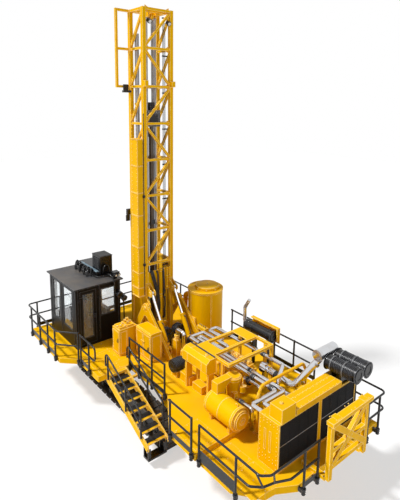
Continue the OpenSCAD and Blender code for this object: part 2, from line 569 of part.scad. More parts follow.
// Guard frame that stands out from the near front column at the top three levels.
guard = 90; guard_y = my0 - 555;
module guard_frame() {
  for (i = [bays - 2:bays]) box([mx0, guard_y + guard, lattice_z + i * bay - guard / 2], [mx0 + guard, my0, lattice_z + i * bay + guard / 2]);
  box([mx0, guard_y, lattice_z + (bays - 2) * bay - guard / 2], [mx0 + guard, guard_y + guard, lattice_z + bays * bay + guard / 2]);
}
module mast_side_near() placed() color(yellow) { mast_side(my0, -1); clevis(0); guard_frame(); }
module mast_side_far() placed() color(yellow) { mast_side(my1 - col, 1); clevis(1); }
module mast_bracing() placed() color(yellow) {
  y0 = my0 + col; y1 = my1 - col; xr = mx1 - col / 2; xf = mx0 + col / 2;
  // Rear face: bay rails and a zigzag of diagonals.
  for (i = [0:bays]) box([xr - brace / 2, y0, lattice_z + i * bay - brace / 2], [xr + brace / 2, y1, lattice_z + i * bay + brace / 2]);
  intersection() {
    for (i = [0:bays - 1]) {
      k = i % 2 == 0 ? 1 : -1;
      bar([xr, mast_y - k * (mast_w / 2 - col / 2), lattice_z + i * bay], [xr, mast_y + k * (mast_w / 2 - col / 2), lattice_z + (i + 1) * bay], brace - 6, brace - 6);
    }
    box([mx0, y0, 0], [mx1, y1, mast_top + 100]);
  }
  // Drill side: a tie at every second level, from the top down.
  for (i = [bays:-2:1]) box([xf - brace / 2, y0, lattice_z + i * bay - brace / 2], [xf + brace / 2, y1, lattice_z + i * bay + brace / 2]);
  // Rear plate of the foot and the pipe table.
  box([mx1 - 40, y0, deck_z + 1900], [mx1, y1, deck_z + 2807]);
  difference() {
    box([mx0 + col, y0, foot_z], [mx1 - col, y1, foot_z + 60]);
    translate([mast_x, mast_y, foot_z - 1]) cylinder(d = pipe_d + 40, h = 62);
  }
  // Two clips for the spare drill pipe.
  for (i = [0.5, bays - 2.5]) box([spare_x - 40, y0, lattice_z + i * bay], [spare_x + 40, spare_y - spare_d / 2, lattice_z + i * bay + 80]);
}
// Crown: two cross beams between the side faces, and the hangers of the feed sheave.
crown_z = mast_top - 20;
module mast_crown() placed() color(yellow) {
  ye = col / 2 + brace / 2;
  for (x = [mast_x - 240, mast_x + 160]) box([x, my0 + ye, crown_z - 90], [x + 80, my1 - ye, crown_z]);
  for (y = [mast_y - 200, mast_y + 140]) box([mast_x - 160, y, crown_z - 240], [mast_x + 160, y + 60, crown_z]);
  translate([mast_x, mast_y, crown_z - 180]) rotate([90, 0, 0]) cylinder(d = 300, h = 120, center = true);
  translate([mast_x, mast_y, crown_z - 180]) rotate([90, 0, 0]) cylinder(d = 90, h = 400, center = true);
}
// Box column beside the mast, in flanged lengths.
module mast_column() placed() color(yellow) {
  cx1 = mx1 - 15; cx0 = cx1 - 450; cy1 = my0 - 30; cy0 = my0 - 270; e = 15;
  zs = [for (h = [1860, 2240, 2850, 3890, 5130, 6000, 7025, 8033]) deck_z + h];
  last = len(zs) - 1;
  box([cx0, cy0, zs[0]], [cx1, cy1, zs[last]]);
  for (i = [0:last]) box([cx0 - e, cy0 - e, zs[i] - (i == 0 ? 0 : 30)], [cx1 + e, my0, zs[i] + (i == 0 ? 30 : 0)]);
}
gd_y = 190; spare_d = 160; spare_x = mx0 + 250; spare_y = my0 + 240;
module mast_guides() placed() color(steel) {
  guide_h = crown_z - 250 - foot_z - 60;
  for (s = [-1, 1]) translate([mast_x, mast_y + s * gd_y, foot_z + 60]) cylinder(d = guide_d, h = guide_h);
  // Feed cylinder in front of the head, and the spare drill pipe in its clips beside the near column.
  translate([mast_x - 260, mast_y + 250, foot_z + 60]) cylinder(d = 120, h = guide_h);
  translate([spare_x, spare_y, foot_z + 900]) cylinder(d = spare_d, h = mast_top - foot_z - 1750);
}
// ---- Rotary head and string ----
head_h = 620; hz = deck_z + head_z;
module rotary_head() placed() {
  color(grey) difference() {
    box([mast_x - 190, mast_y - gd_y - 110, hz], [mast_x + 190, mast_y + gd_y + 110, hz + head_h]);
    for (s = [-1, 1]) translate([mast_x, mast_y + s * gd_y, hz - 1]) cylinder(d = guide_d + 2 * head_gap, h = head_h + 2);
    translate([mast_x, mast_y, hz - 1]) cylinder(d = 140 + 2 * run_gap, h = 301);
  }
  color(black) for (x = [-90, 100]) translate([mast_x + x, mast_y, hz + head_h]) cylinder(d = 170, h = 300);
}
module drill_pipe() placed() {
  color(grey) {
    translate([mast_x, mast_y, hz - 200]) cylinder(d = 140, h = 490);
    translate([mast_x, mast_y, hz - 400]) cylinder(d = 240, h = 200);
  }
  color(steel) translate([mast_x, mast_y, foot_z - 60]) cylinder(d = pipe_d, h = hz - 400 - foot_z + 60);
}

// ---- Deck machinery ----
reel_x = -1600; reel_z = deck_z + 470; reel_y = [120, 690]; reel_r = 260;
module hose_drums() placed() color(black) for (y = reel_y) {
  for (s = [-1, 1]) {
    translate([reel_x + s * 120 - 15, y, reel_z]) rotate([0, 90, 0]) cylinder(r = reel_r, h = 30, $fn = 64);
    box([reel_x + s * 175 - 25, y - 100, deck_z], [reel_x + s * 175 + 25, y + 100, reel_z + 60]);
  }
  translate([reel_x - 115, y, reel_z]) rotate([0, 90, 0]) cylinder(r = reel_r - 70, h = 230);
  translate([reel_x - 200, y, reel_z]) rotate([0, 90, 0]) cylinder(d = 90, h = 400);
}
eng_y0 = 150; eng_y1 = 950; eng_mid = (eng_y0 + eng_y1) / 2; bank_z = deck_z + 830;
module engine() placed() {
  color(yellow) {
    box([600, eng_y0, deck_z + 160], [2450, eng_y1, deck_z + 640]);
    // Two banks of cylinder heads with the manifold between them.
    for (y = [eng_y0 + 40, eng_y1 - 270]) {
      box([700, y, deck_z + 640], [2350, y + 230, bank_z - 60]);
      for (k = [0:5]) box([720 + k * 270, y + 20, bank_z - 60], [940 + k * 270, y + 210, bank_z]);
    }
    box([800, eng_mid - 80, deck_z + 640], [2250, eng_mid + 80, deck_z + 760]);
    for (x = [750, 2200]) box([x, 60, deck_z], [x + 160, 1040, deck_z + 160]);
    // Flywheel housing towards the cooler and the drive to the compressor.
    translate([2450, eng_mid, deck_z + 480]) rotate([0, 90, 0]) cylinder(d = 640, h = 90);
    translate([480, eng_mid, deck_z + 480]) rotate([0, 90, 0]) cylinder(d = 420, h = 120);
  }
}
cmp_top = deck_z + 700; cmp_x0 = -150; pump_x = -815; pump_y = 50; del_x = -420; del_y = 70;
module compressor() placed() color(yellow) {
  box([cmp_x0, eng_y0 + 50, deck_z + 160], [360, eng_y1 - 50, cmp_top]);
  translate([360, eng_mid, deck_z + 480]) rotate([0, 90, 0]) cylinder(d = 560, h = 120);
  for (x = [-450, 180]) box([x, 60, deck_z], [x + 140, 1040, deck_z + 160]);
  // Hydraulic motor on its foot, at the mast end.
  color(black) translate([cmp_x0 - 400, eng_mid, deck_z + 480]) rotate([0, 90, 0]) cylinder(d = 500, h = 400);
  box([-450, eng_mid - 220, deck_z + 160], [-310, eng_mid + 220, deck_z + 330]);
  // Oil pump and the block its delivery pipe runs to, and a valve box on its stem.
  box([pump_x - 115, pump_y - 110, deck_z], [pump_x + 115, pump_y + 110, deck_z + 620]);
  translate([pump_x, pump_y, deck_z + 620]) cylinder(d = 180, h = 140);
  box([del_x - 90, del_y - 90, deck_z], [del_x + 90, del_y + 90, deck_z + 300]);
  box([-395, eng_y1 - 45, deck_z], [-315, eng_y1 + 35, deck_z + 900]);
  box([-590, 840, deck_z + 900], [-120, 1000, deck_z + 1030]);
}
cn_x = [1140, 1900, 2630]; cn_y0 = -590; cn_y1 = 1440;
module canopy_frame() placed() color(yellow) {
  zt = deck_z + canopy_h; b = 90;
  for (x = cn_x) box([x, cn_y0, zt - b], [x + b, cn_y1, zt]);
  for (y = [cn_y0, cn_y1 - b]) box([cn_x[0], y, zt - b], [cn_x[2] + b, y + b, zt]);
  box([cn_x[0] + b, cn_y0 + b, zt - 20], [cn_x[1], cn_y0 + 430, zt]);
  box([cn_x[0] + b, cn_y1 - 470, zt - 20], [cn_x[1], cn_y1 - b, zt]);
  for (p = [[cn_x[0], cn_y0], [2350, cn_y0], [cn_x[0], cn_y1 - b], [cn_x[2], cn_y1 - b], [2350, cn_y1 - b]]) box([p[0], p[1], deck_z], [p[0] + b, p[1] + b, zt - b]);
  // Arched stay over the pipes at the step: a round bar with three bends and a foot at each end.
  pipe([[stay_x, -540, rear_z], [stay_x, -540, deck_z + 1060], [stay_x, -410, deck_z + 1310], [stay_x, 1480, deck_z + 1310],
    [stay_x, 1620, deck_z + 1060], [stay_x, 1620, rear_z]], stay_d, 150, 9);
  for (y = [-540, 1620]) box([stay_x - 90, y - 90, rear_z], [stay_x + 90, y + 90, rear_z + 40]);
}
stay_x = 3925; stay_d = 95;
tk_y0 = -1000; tk_y1 = cn_y0 - 20; tk_z = 950;
module hydraulic_tank() placed() {
  color(yellow) {
    // Chamfered tank; the upper outer edge is cut at 45 degrees.
    translate([2150, 0, 0]) rotate([90, 0, -90]) translate([0, deck_z, 0]) linear_extrude(1250)
      polygon([[-tk_y1, tk_z], [-tk_y1, canopy_h], [-tk_y0 - 150, canopy_h], [-tk_y0, canopy_h - 120], [-tk_y0, tk_z + 80], [-tk_y0 - 70, tk_z]]);
    for (x = [930, 2040]) box([x, -900, deck_z], [x + 80, tk_y1 - 40, deck_z + tk_z]);
    // Long gear case under the tank.
    box([520, -820, deck_z], [1060, -500, deck_z + 300]);
    box([1230, -820, deck_z], [1700, -540, deck_z + 250]);
  }
  color(black) translate([270, -520, deck_z + 400]) rotate([90, 0, 0]) cylinder(d = 440, h = 440);
  color(yellow) box([120, -880, deck_z], [420, -600, deck_z + 200]);
}
rc_z = deck_z + 470; rc_y = -1120; rc_x0 = 2600; rc_x1 = 3800; sep_x = 2790; sep_y = -450;
module receiver_tank() placed() color(yellow) {
  translate([rc_x0, rc_y, rc_z]) rotate([0, 90, 0]) cylinder(d = receiver_d, h = rc_x1 - rc_x0, $fn = 64);
  for (x = [rc_x0 - 60, rc_x1]) translate([x, rc_y, rc_z]) rotate([0, 90, 0]) cylinder(d = receiver_d - 140, h = 60, $fn = 64);
  for (x = [rc_x0 + 100, step_x - 100]) box([x, rc_y - 220, deck_z], [x + 90, rc_y + 220, deck_z + 260]);
  // Separator with its domed cap and side fittings.
  translate([sep_x, sep_y, deck_z]) {
    cylinder(d = 430, h = 1000, $fn = 64);
    translate([0, 0, 1000]) cylinder(d = 500, h = 90, $fn = 64);
    translate([0, 0, 1090]) cylinder(d = 420, h = 30, $fn = 64);
    translate([110, -190, 320]) cube([150, 150, 360]);
    translate([160, 60, 760]) rotate([0, 90, 20]) cylinder(d = 110, h = 130);
    translate([290, 110, 660]) cylinder(d = 200, h = 200, $fn = 64);
  }
  // Square duct that curves from the top of the receiver to the separator.
  translate([sep_x + 100, 0, 0]) rotate([90, 0, -90]) linear_extrude(260) difference() {
    translate([600, rc_z + 200]) square([600, 480]);
    translate([600, rc_z + 260]) circle(r = 300, $fn = 64);
  }
}
pz = deck_z + 1000; pd = 130; pr = 75; far_z = deck_z + 1120; low_d = 120;
module pipework() placed() color(steel) {
  // The pipes end flush with the cooler, less a hair so that no end dips into it.
  pipe_x1 = cl_x0 - 0.02;
  // Twin pipes from the cooler, over the engine, round its end and back down to a cylinder bank each.
  pipe([[pipe_x1, -920, pz], [4050, -920, pz], [4050, 80, pz], [-50, 80, pz], [-50, 700, pz], [1300, 700, pz], [1300, 700, bank_z]], pd, pr);
  pipe([[pipe_x1, -620, pz], [4215, -620, pz], [4215, 260, pz], [170, 260, pz], [170, 430, pz], [1450, 430, pz], [1450, 430, bank_z]], pd, pr);
  // Long far pipe, over the intake and down to the cooler.
  pipe([[830, 820, bank_z], [830, 820, far_z], [150, 820, far_z], [150, 1150, far_z], [3380, 1150, far_z], [3690, 640, far_z],
    [3760, 480, deck_z + 780], [pipe_x1, 480, deck_z + 780]], pd, pr);
  // Low pipes.
  pipe([[2540, 290, deck_z + 600], [3200, 290, deck_z + 600], [3200, 290, deck_z]], low_d, pr);
  pipe([[sep_x + 260, sep_y - 110, deck_z + 500], [3720, sep_y - 110, deck_z + 500], [3720, sep_y - 110, rear_z]], low_d, pr);
  // Delivery pipe of the oil pump.
  pipe([[pump_x, pump_y, deck_z + 760], [pump_x, pump_y, deck_z + 1010], [del_x, del_y, deck_z + 1010], [del_x, del_y, deck_z + 300]], 140, 90);
}
mf_y = 1900; mf_z = deck_z + 1380; mf_x0 = 1000; mf_d = 380; sh_x0 = 1100; sh_x1 = 2390;
module exhaust_muffler() placed() {
  color(black) {
    translate([mf_x0, mf_y, mf_z]) rotate([0, 90, 0]) cylinder(d = mf_d, h = 1280, $fn = 64);
    for (x = [1350, 2050]) box([x, mf_y - 60, deck_z], [x + 60, mf_y + 60, mf_z - mf_d / 2 + 30]);
  }
  color(steel) pipe([[1100, mf_y, mf_z], [890, mf_y, mf_z + 20], [900, mf_y, deck_z + 2000], [1100, mf_y, deck_z + 2330]], 130, 130, 14);
  // Heat shield on the far side.
  color(yellow) {
    box([sh_x0, 2100, deck_z + 1100], [sh_x1, 2140, deck_z + 1670]);
    box([sh_x0, 2000, deck_z + 1630], [sh_x1, 2100, deck_z + 1670]);
    box([sh_x1 - 40, 1990, deck_z + 1200], [sh_x1, 2100, deck_z + 1630]);
    for (x = [1350, 2050]) box([x, mf_y + 40, mf_z - 190], [x + 60, 2110, mf_z - 130]);
  }
}
in_z = deck_z + 840; ac_x0 = 4720; ac_z = deck_z + 1680; ac_y = [1680, 2175]; ac_d = 470;
module intake_pipe() placed() color(steel) {
  pipe([[2900, 930, in_z], [4090, 850, in_z], [4500, 1600, deck_z + 1760]], 220, 280, 20);
  translate([2720, 930, in_z]) rotate([0, 90, 0]) cylinder(d = 340, h = 240, $fn = 64);
  translate([2840, 930, deck_z]) cylinder(d = 200, h = in_z - deck_z - 100);
  translate([3040, 921, in_z]) rotate([0, 90, -3.8]) cylinder(d = 250, h = 60, $fn = 64);
  // Cross manifold with a neck to each cleaner.
  translate([4500, 2220, deck_z + 1860]) rotate([90, 0, 0]) cylinder(d = 360, h = 840, $fn = 64);
  for (y = ac_y) translate([4500, y, deck_z + 1790]) rotate([0, 90, 0]) cylinder(d = 160, h = ac_x0 - 4500);
}
fan_d = 900; fan_y = [-420, 1520]; fan_z = rear_z + 560;
cl_x1 = rear_x - 560; cl_x0 = cl_x1 - cooler_t; cl_y0 = -1250; cl_y1 = cl_y0 + cooler_w;
// The two cores, with a mullion between them.
cl_mid = (cl_y0 + cl_y1) / 2; core_z0 = rear_z + 50; core_z1 = deck_z + cooler_h - 40;
core_y = [[cl_y0 + 40, cl_mid - 70], [cl_mid + 70, cl_y1 - 30]];
module air_cleaners() placed() color(black) {
  for (y = ac_y) {
    translate([ac_x0, y, ac_z]) rotate([0, 90, 0]) cylinder(d = ac_d - 30, h = 1000, $fn = 64);
    for (x = [ac_x0 + 150, ac_x0 + 560]) translate([x, y, ac_z]) rotate([0, 90, 0]) cylinder(d = ac_d, h = 60, $fn = 64);
    for (x = [ac_x0 + 150, ac_x0 + 500]) box([x, y - 160, deck_z + cooler_h], [x + 60, y + 160, ac_z - 120]);
  }
}
module cooler_housing() placed() color(yellow) difference() {
  union() {
    box([cl_x0, cl_y0, rear_z], [cl_x1, cl_y1, deck_z + cooler_h]);
    box([cl_x0 + 300, cl_y0 + 680, deck_z + cooler_h], [cl_x1, 1480, deck_z + cooler_h + 140]);
    // Header tank at the near end.
    box([cl_x1 - 430, cl_y0 + 90, deck_z + cooler_h], [cl_x1, cl_y0 + 640, deck_z + cooler_h + 380]);
    // Fan shroud on the engine side.
    for (y = fan_y) translate([cl_x0 - 120, y, fan_z]) rotate([0, 90, 0]) cylinder(d = fan_d + 120, h = 121, $fn = 64);
  }
  // Recess for the cores in the rear face and the fan opening in front.
  for (c = core_y) box([cl_x1 - 140, c[0], core_z0], [cl_x1 + 1, c[1], core_z1]);
  for (y = fan_y) translate([cl_x0 - 121, y, fan_z]) rotate([0, 90, 0]) cylinder(d = fan_d, h = 400, $fn = 64);
}
module cooler_cores() placed() color(black) {
  for (c = core_y) box([cl_x1 - 140, c[0], core_z0], [cl_x1 - 20, c[1], core_z1]);
}
module mast_rest() placed() color(yellow) {
  x0 = rest_x1 - 210; x1 = x0 + 120; y0 = mast_y - 920; y1 = mast_y + 920; zt = deck_z + rest_h; zb = rear_z + 50;
  legs = [y0 + 60, y1 - 200];
  box([x0, y0, zt - 110], [rest_x1, y1, zt]);
  for (y = legs) box([x0, y, zb], [x1, y + 140, zt - 110]);
  for (z = [zb + 300, zb + 760]) box([x0, y0 + 200, z], [x1, y1 - 200, z + 120]);
  intersection() {
    union() {
      bar([x0 + 60, y0 + 130, zb + 360], [x0 + 60, y1 - 130, zt - 120], 110, 80);
      bar([x0 + 60, y1 - 130, zb + 360], [x0 + 60, y0 + 130, zt - 120], 110, 80);
    }
    box([x0, y0 + 100, zb], [x1, y1 - 100, zt - 100]);
  }
  // Two sills carry the legs from the rear deck.
  for (y = legs) box([rear_x - 400, y, rear_z], [x0, y + 140, rear_z + 110]);
}

main_frame();
deck();
rear_deck();
crawler_frame(-1);  // crawler_near_frame
crawler_track(-1);  // crawler_near_track
crawler_frame(1);  // crawler_far_frame
crawler_track(1);  // crawler_far_track
stairs();
stair_handrails();
rails_front();
rails_near();
rails_rear();
cab_shell();
cab_door();
cab_interior();
cab_aircon();
cabinet_controls();
cabinet_valves();
dust_collector();
a_frame();
lift_barrel(0);  // lift_barrel_near
lift_barrel(1);  // lift_barrel_far
lift_rod(0);  // lift_rod_near
lift_rod(1);  // lift_rod_far
mast_side_near();
mast_side_far();
mast_bracing();
mast_crown();
mast_column();
mast_guides();
rotary_head();
drill_pipe();
hose_drums();
engine();
compressor();
canopy_frame();
hydraulic_tank();
receiver_tank();
pipework();
exhaust_muffler();
intake_pipe();
air_cleaners();
cooler_housing();
cooler_cores();
mast_rest();
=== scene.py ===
import math
import bpy
from mathutils import Matrix, Vector


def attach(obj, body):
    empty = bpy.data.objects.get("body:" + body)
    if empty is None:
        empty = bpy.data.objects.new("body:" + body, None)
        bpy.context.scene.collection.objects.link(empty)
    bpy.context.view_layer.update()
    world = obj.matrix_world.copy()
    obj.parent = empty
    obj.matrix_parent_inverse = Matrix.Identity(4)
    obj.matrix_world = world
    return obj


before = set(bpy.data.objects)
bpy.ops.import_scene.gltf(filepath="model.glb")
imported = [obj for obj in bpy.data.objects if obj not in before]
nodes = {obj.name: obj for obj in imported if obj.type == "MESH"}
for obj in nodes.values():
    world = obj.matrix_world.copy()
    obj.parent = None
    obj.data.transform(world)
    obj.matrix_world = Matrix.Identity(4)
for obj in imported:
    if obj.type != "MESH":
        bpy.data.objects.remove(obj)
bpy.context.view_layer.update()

plusX, minusX, plusY, minusY, up, down = (1, 0, 0), (-1, 0, 0), (0, 1, 0), (0, -1, 0), (0, 0, 1), (0, 0, -1)
white = (1, 1, 1, 1)
print("stage: frame loaded")

# The rig is laid out from the mast; the record's frame is shifted from that layout by this much.
layout = {"x": -0.065, "y": 0.425, "deck": 2.0}


def at(x, y, z):
    # A place in the layout, z above the main deck.
    return Vector((x + layout["x"], y + layout["y"], z + layout["deck"]))


# Shader tools


def feed(tree, value, socket):
    # Links a socket to the input, or sets a plain value on it.
    if isinstance(value, bpy.types.NodeSocket):
        tree.links.new(value, socket)
    else:
        socket.default_value = value


def addNode(tree, kind, settings=None, **inputs):
    made = tree.nodes.new("ShaderNode" + kind)
    for label, value in (settings or {}).items():
        setattr(made, label, value)
    for label, value in inputs.items():
        feed(tree, value, made.inputs[label.replace("_", " ")])
    return made


def math2(tree, operation, a, b):
    made = addNode(tree, "Math", {"operation": operation})
    feed(tree, a, made.inputs[0])
    feed(tree, b, made.inputs[1])
    return made.outputs[0]


def times(tree, a, b):
    return math2(tree, "MULTIPLY", a, b)


def plus(tree, a, b):
    return math2(tree, "ADD", a, b)


def mixShaders(tree, factor, a, b):
    mix = addNode(tree, "MixShader")
    for socket, value in zip(mix.inputs, (factor, a.outputs[0], b.outputs[0])):
        feed(tree, value, socket)
    return mix.outputs[0]


def seenThrough(tree):
    # 1 for the camera's rays and the rays that pass through glass.
    path = addNode(tree, "LightPath").outputs
    return path, math2(tree, "MAXIMUM", path["Is Camera Ray"], path["Is Transmission Ray"])


# Camera and light

cameraSettings = {"place": (12.135, -9.145, 11.3), "turn": 50.213, "down": 9.642, "roll": 0.682,
                  "lens": 33.34, "shiftX": -0.0075, "shiftY": -0.1332, "clipEnd": 300}
lightSettings = {"ambient": 0.22,
                 "suns": (("keySun", 3.75, 6, (36, 0, -30)), ("fillSun", 0.70, 40, (58, 0, 78)))}


def makeCamera(s):
    bpy.ops.object.camera_add(location=s["place"])
    camera = bpy.context.object
    camera.name = "mainCamera"
    turn = Matrix.Identity(4)
    for angle, axis in ((s["turn"], "Z"), (90 - s["down"], "X"), (s["roll"], "Z")):
        turn = turn @ Matrix.Rotation(math.radians(angle), 4, axis)
    camera.rotation_euler = turn.to_euler()
    camera.data.sensor_width = 36
    camera.data.lens = s["lens"]
    camera.data.shift_x = s["shiftX"]
    camera.data.shift_y = s["shiftY"]
    camera.data.clip_end = s["clipEnd"]
    bpy.context.scene.camera = camera


def makeLights(s):
    for name, energy, angle, turn in s["suns"]:
        bpy.ops.object.light_add(type="SUN", location=(0, -10, 20))
        sun = bpy.context.object
        sun.name = name
        sun.data.energy = energy
        sun.data.angle = math.radians(angle)
        sun.rotation_euler = [math.radians(a) for a in turn]
    world = bpy.data.worlds.new("studio")
    bpy.context.scene.world = world
    world.use_nodes = True
    tree = world.node_tree
    tree.nodes.clear()
    path, seen = seenThrough(tree)
    seen = math2(tree, "MAXIMUM", seen, path["Is Glossy Ray"])
    plain = addNode(tree, "Background", Color=white, Strength=s["ambient"])
    bright = addNode(tree, "Background", Color=white)
    tree.links.new(mixShaders(tree, seen, plain, bright), addNode(tree, "OutputWorld").inputs[0])
    bpy.context.scene.view_settings.view_transform = "Standard"


makeCamera(cameraSettings)
makeLights(lightSettings)
print("stage: camera and light")

# Shared effects


def newGroup(name, inputs, outputs):
    group = bpy.data.node_groups.new(name, "ShaderNodeTree")
    for label, kind, value in inputs:
        socket = group.interface.new_socket(label, in_out="INPUT", socket_type="NodeSocket" + kind)
        socket.default_value = value
    for label, kind in outputs:
        group.interface.new_socket(label, in_out="OUTPUT", socket_type="NodeSocket" + kind)
    return group, group.nodes.new("NodeGroupInput").outputs, group.nodes.new("NodeGroupOutput").inputs


def mixColour(tree, factor, a, b, blend="MIX"):
    mix = addNode(tree, "Mix", {"data_type": "RGBA", "blend_type": blend})
    for index, value in ((0, factor), (6, a), (7, b)):
        feed(tree, value, mix.inputs[index])
    return mix.outputs[2]


def ramp(tree, source, low, high):
    made = addNode(tree, "MapRange", {"clamp": True}, Value=source, From_Min=low, From_Max=high)
    return made.outputs["Result"]


def noiseAt(tree, scale, detail=3, stretch=None):
    where = addNode(tree, "TexCoord").outputs["Object"]
    if stretch:
        where = addNode(tree, "Mapping", Vector=where, Scale=stretch).outputs["Vector"]
    return addNode(tree, "TexNoise", Vector=where, Scale=scale, Detail=detail).outputs["Fac"]


def noiseRamp(tree, scale, detail, low, high, stretch=None):
    return ramp(tree, noiseAt(tree, scale, detail, stretch), low, high)


def buildDustGroup():
    # Dust that settles on faces that look up, and streaks of grime that run down the sides.
    group, source, out = newGroup("dustAndGrime", [("Dust", "Float", 0.3), ("Grime", "Float", 0.3)],
                                  [("Dust Mask", "Float"), ("Grime Mask", "Float")])
    normal = addNode(group, "SeparateXYZ", Vector=addNode(group, "NewGeometry").outputs["Normal"])
    upward = ramp(group, normal.outputs["Z"], 0.55, 0.98)
    patches = noiseRamp(group, 1.7, 5, 0.35, 0.75)
    fine = plus(group, times(group, noiseRamp(group, 38, 3, 0.35, 0.8), 0.5), 0.5)
    dust = times(group, times(group, upward, patches), fine)
    feed(group, times(group, dust, source["Dust"]), out["Dust Mask"])
    streak = noiseRamp(group, 3.2, 5, 0.5, 0.82, (1.6, 1.6, 0.16))
    grime = times(group, streak, math2(group, "SUBTRACT", 1.0, upward))
    feed(group, times(group, grime, source["Grime"]), out["Grime Mask"])
    return group


surfaceOutputs = [("Colour", "Color"), ("Roughness", "Float"), ("Height", "Float")]


def buildPaintGroup():
    # Sprayed paint: a slow drift of shade, orange peel, and small chips.
    group, source, out = newGroup("sprayedPaint", [
        ("Colour", "Color", white), ("Drift", "Float", 0.15), ("Chips", "Float", 0.2),
        ("Primer", "Color", (0.1, 0.1, 0.1, 1))], surfaceOutputs)
    drift = noiseRamp(group, 0.9, 4, 0.3, 0.7)
    dark = mixColour(group, 1.0, source["Colour"], (0.80, 0.72, 0.7, 1), "MULTIPLY")
    shade = mixColour(group, times(group, drift, source["Drift"]), source["Colour"], dark)
    chips, large = noiseRamp(group, 24, 6, 0.70, 0.735), noiseRamp(group, 1.3, 2, 0.52, 0.64)
    chipMask = times(group, times(group, chips, large), source["Chips"])
    feed(group, mixColour(group, chipMask, shade, source["Primer"]), out["Colour"])
    feed(group, times(group, drift, 0.09), out["Roughness"])
    peel = times(group, noiseAt(group, 85, 2), 0.15)
    feed(group, math2(group, "SUBTRACT", peel, chipMask), out["Height"])
    return group


def buildBrushedGroup():
    # Polished or brushed metal: fine lines, stains and a little heat tint.
    group, source, out = newGroup("polishedMetal", [
        ("Colour", "Color", (0.8, 0.8, 0.8, 1)), ("Stain", "Float", 0.2), ("Lines", "Float", 0.1)],
        surfaceOutputs)
    stain = noiseRamp(group, 3.4, 5, 0.45, 0.8)
    tinted = mixColour(group, 1.0, source["Colour"], (0.72, 0.66, 0.58, 1), "MULTIPLY")
    stained = mixColour(group, times(group, stain, source["Stain"]), source["Colour"], tinted)
    feed(group, stained, out["Colour"])
    feed(group, times(group, stain, 0.14), out["Roughness"])
    feed(group, times(group, noiseAt(group, 14, 2, (0.4, 9, 9)), source["Lines"]), out["Height"])
    return group


def buildEdgeHighlightGroup():
    # Painted highlight: sharp edges, found with a bevel, are lit up in a pale colour that stands in for light
    # catching them, broken into noise patches.
    group, source, out = newGroup("edgeWear", [("Width", "Float", 0.02), ("Wear", "Float", 0.6)],
                                  [("Edge Mask", "Float")])
    bevel = addNode(group, "Bevel", {"samples": 4}, Radius=source["Width"])
    turned = addNode(group, "VectorMath", {"operation": "DOT_PRODUCT"})
    feed(group, bevel.outputs[0], turned.inputs[0])
    feed(group, addNode(group, "NewGeometry").outputs["Normal"], turned.inputs[1])
    sharp = ramp(group, math2(group, "SUBTRACT", 1.0, turned.outputs["Value"]), 0.01, 0.10)
    patches = plus(group, times(group, noiseRamp(group, 5.5, 4, 0.25, 0.6), 0.6), 0.4)
    feed(group, times(group, times(group, sharp, patches), source["Wear"]), out["Edge Mask"])
    return group


dustGroup = buildDustGroup()
edgeHighlightGroup = buildEdgeHighlightGroup()
paintGroup = buildPaintGroup()
brushedGroup = buildBrushedGroup()

# Materials

paintSettings = {"dust": (0.42, 0.33, 0.22, 1), "grime": (0.06, 0.045, 0.03, 1), "tread": {"yellowDeck": 0.5}}
# The edge colour and its strength give a painted highlight along sharp edges, a paler tone that stands in for
# light catching them.
finishColumns = ("colour", "primer", "edge",
                 "rough", "coat", "specular", "drift", "chips", "dust", "grime", "edgeHighlight", "edgeWidth")
finishes = {
    "yellowPaint": ((0.85, 0.46, 0.0), (0.20, 0.13, 0.06), (1.0, 0.80, 0.36),
                    0.34, 0, 0.05, 0.22, 0.25, 0.05, 0.12, 0.95, 0.032),
    "yellowDeck": ((0.85, 0.46, 0.0), (0.25, 0.2, 0.12), (1.0, 0.74, 0.26),
                   0.45, 0, 0.04, 0.30, 0.3, 0.08, 0.15, 0.7, 0.03),
    "blackPaint": ((0.003, 0.003, 0.0035), (0.12, 0.12, 0.12), (0.20, 0.21, 0.25),
                   0.24, 0, 0.42, 0.2, 0.15, 0.02, 0.05, 0.6, 0.012),
    "cabPaint": ((0.004, 0.004, 0.0045), (0.15, 0.15, 0.15), (0.20, 0.20, 0.21),
                 0.32, 0, 0.16, 0.2, 0.12, 0.05, 0.06, 0.6, 0.016),
    # The cab roof's upward faces take a lighter grey than the cab's black: a painted sheen for light
    # reflecting on the roof, with real dust on top.
    "cabRoofPaintedSheen": ((0.055, 0.056, 0.060), (0.15, 0.15, 0.15), (0.30, 0.30, 0.31),
                0.42, 0, 0.3, 0.5, 0.3, 0.25, 0.1, 0.6, 0.016),
    "coreBlack": ((0.006, 0.006, 0.007), (0.08, 0.08, 0.08), (0.05, 0.05, 0.05),
                  0.55, 0, 0.2, 0.3, 0.1, 0.03, 0.05, 0.3, 0.005),
    "greyPaint": ((0.10, 0.105, 0.11), (0.3, 0.3, 0.3), (0.35, 0.35, 0.36),
                  0.4, 0.1, 0.5, 0.3, 0.3, 0.1, 0.2, 0.6, 0.02),
    "trackIron": ((0.018, 0.018, 0.018), (0.20, 0.18, 0.16), (0.26, 0.25, 0.24),
                  0.5, 0, 0.5, 0.6, 0.8, 0.15, 0.3, 0.8, 0.02),
    "paleBlue": ((0.20, 0.32, 0.40), (0.2, 0.2, 0.2), (0.5, 0.58, 0.62),
                 0.35, 0.1, 0.5, 0.3, 0.2, 0.05, 0.1, 0.5, 0.02),
}


def newMaterial(name, **values):
    material = bpy.data.materials.new(name)
    material.use_nodes = True
    tree = material.node_tree
    shader = tree.nodes["Principled BSDF"].inputs
    for label, value in values.items():
        shader[label.replace("_", " ")].default_value = value
    return material, tree, shader


def groupOf(tree, group, **inputs):
    return addNode(tree, "Group", {"node_tree": group}, **inputs).outputs


def addBump(tree, shader, height, strength, distance):
    bump = addNode(tree, "Bump", Strength=strength, Distance=distance, Height=height)
    feed(tree, bump.outputs[0], shader["Normal"])


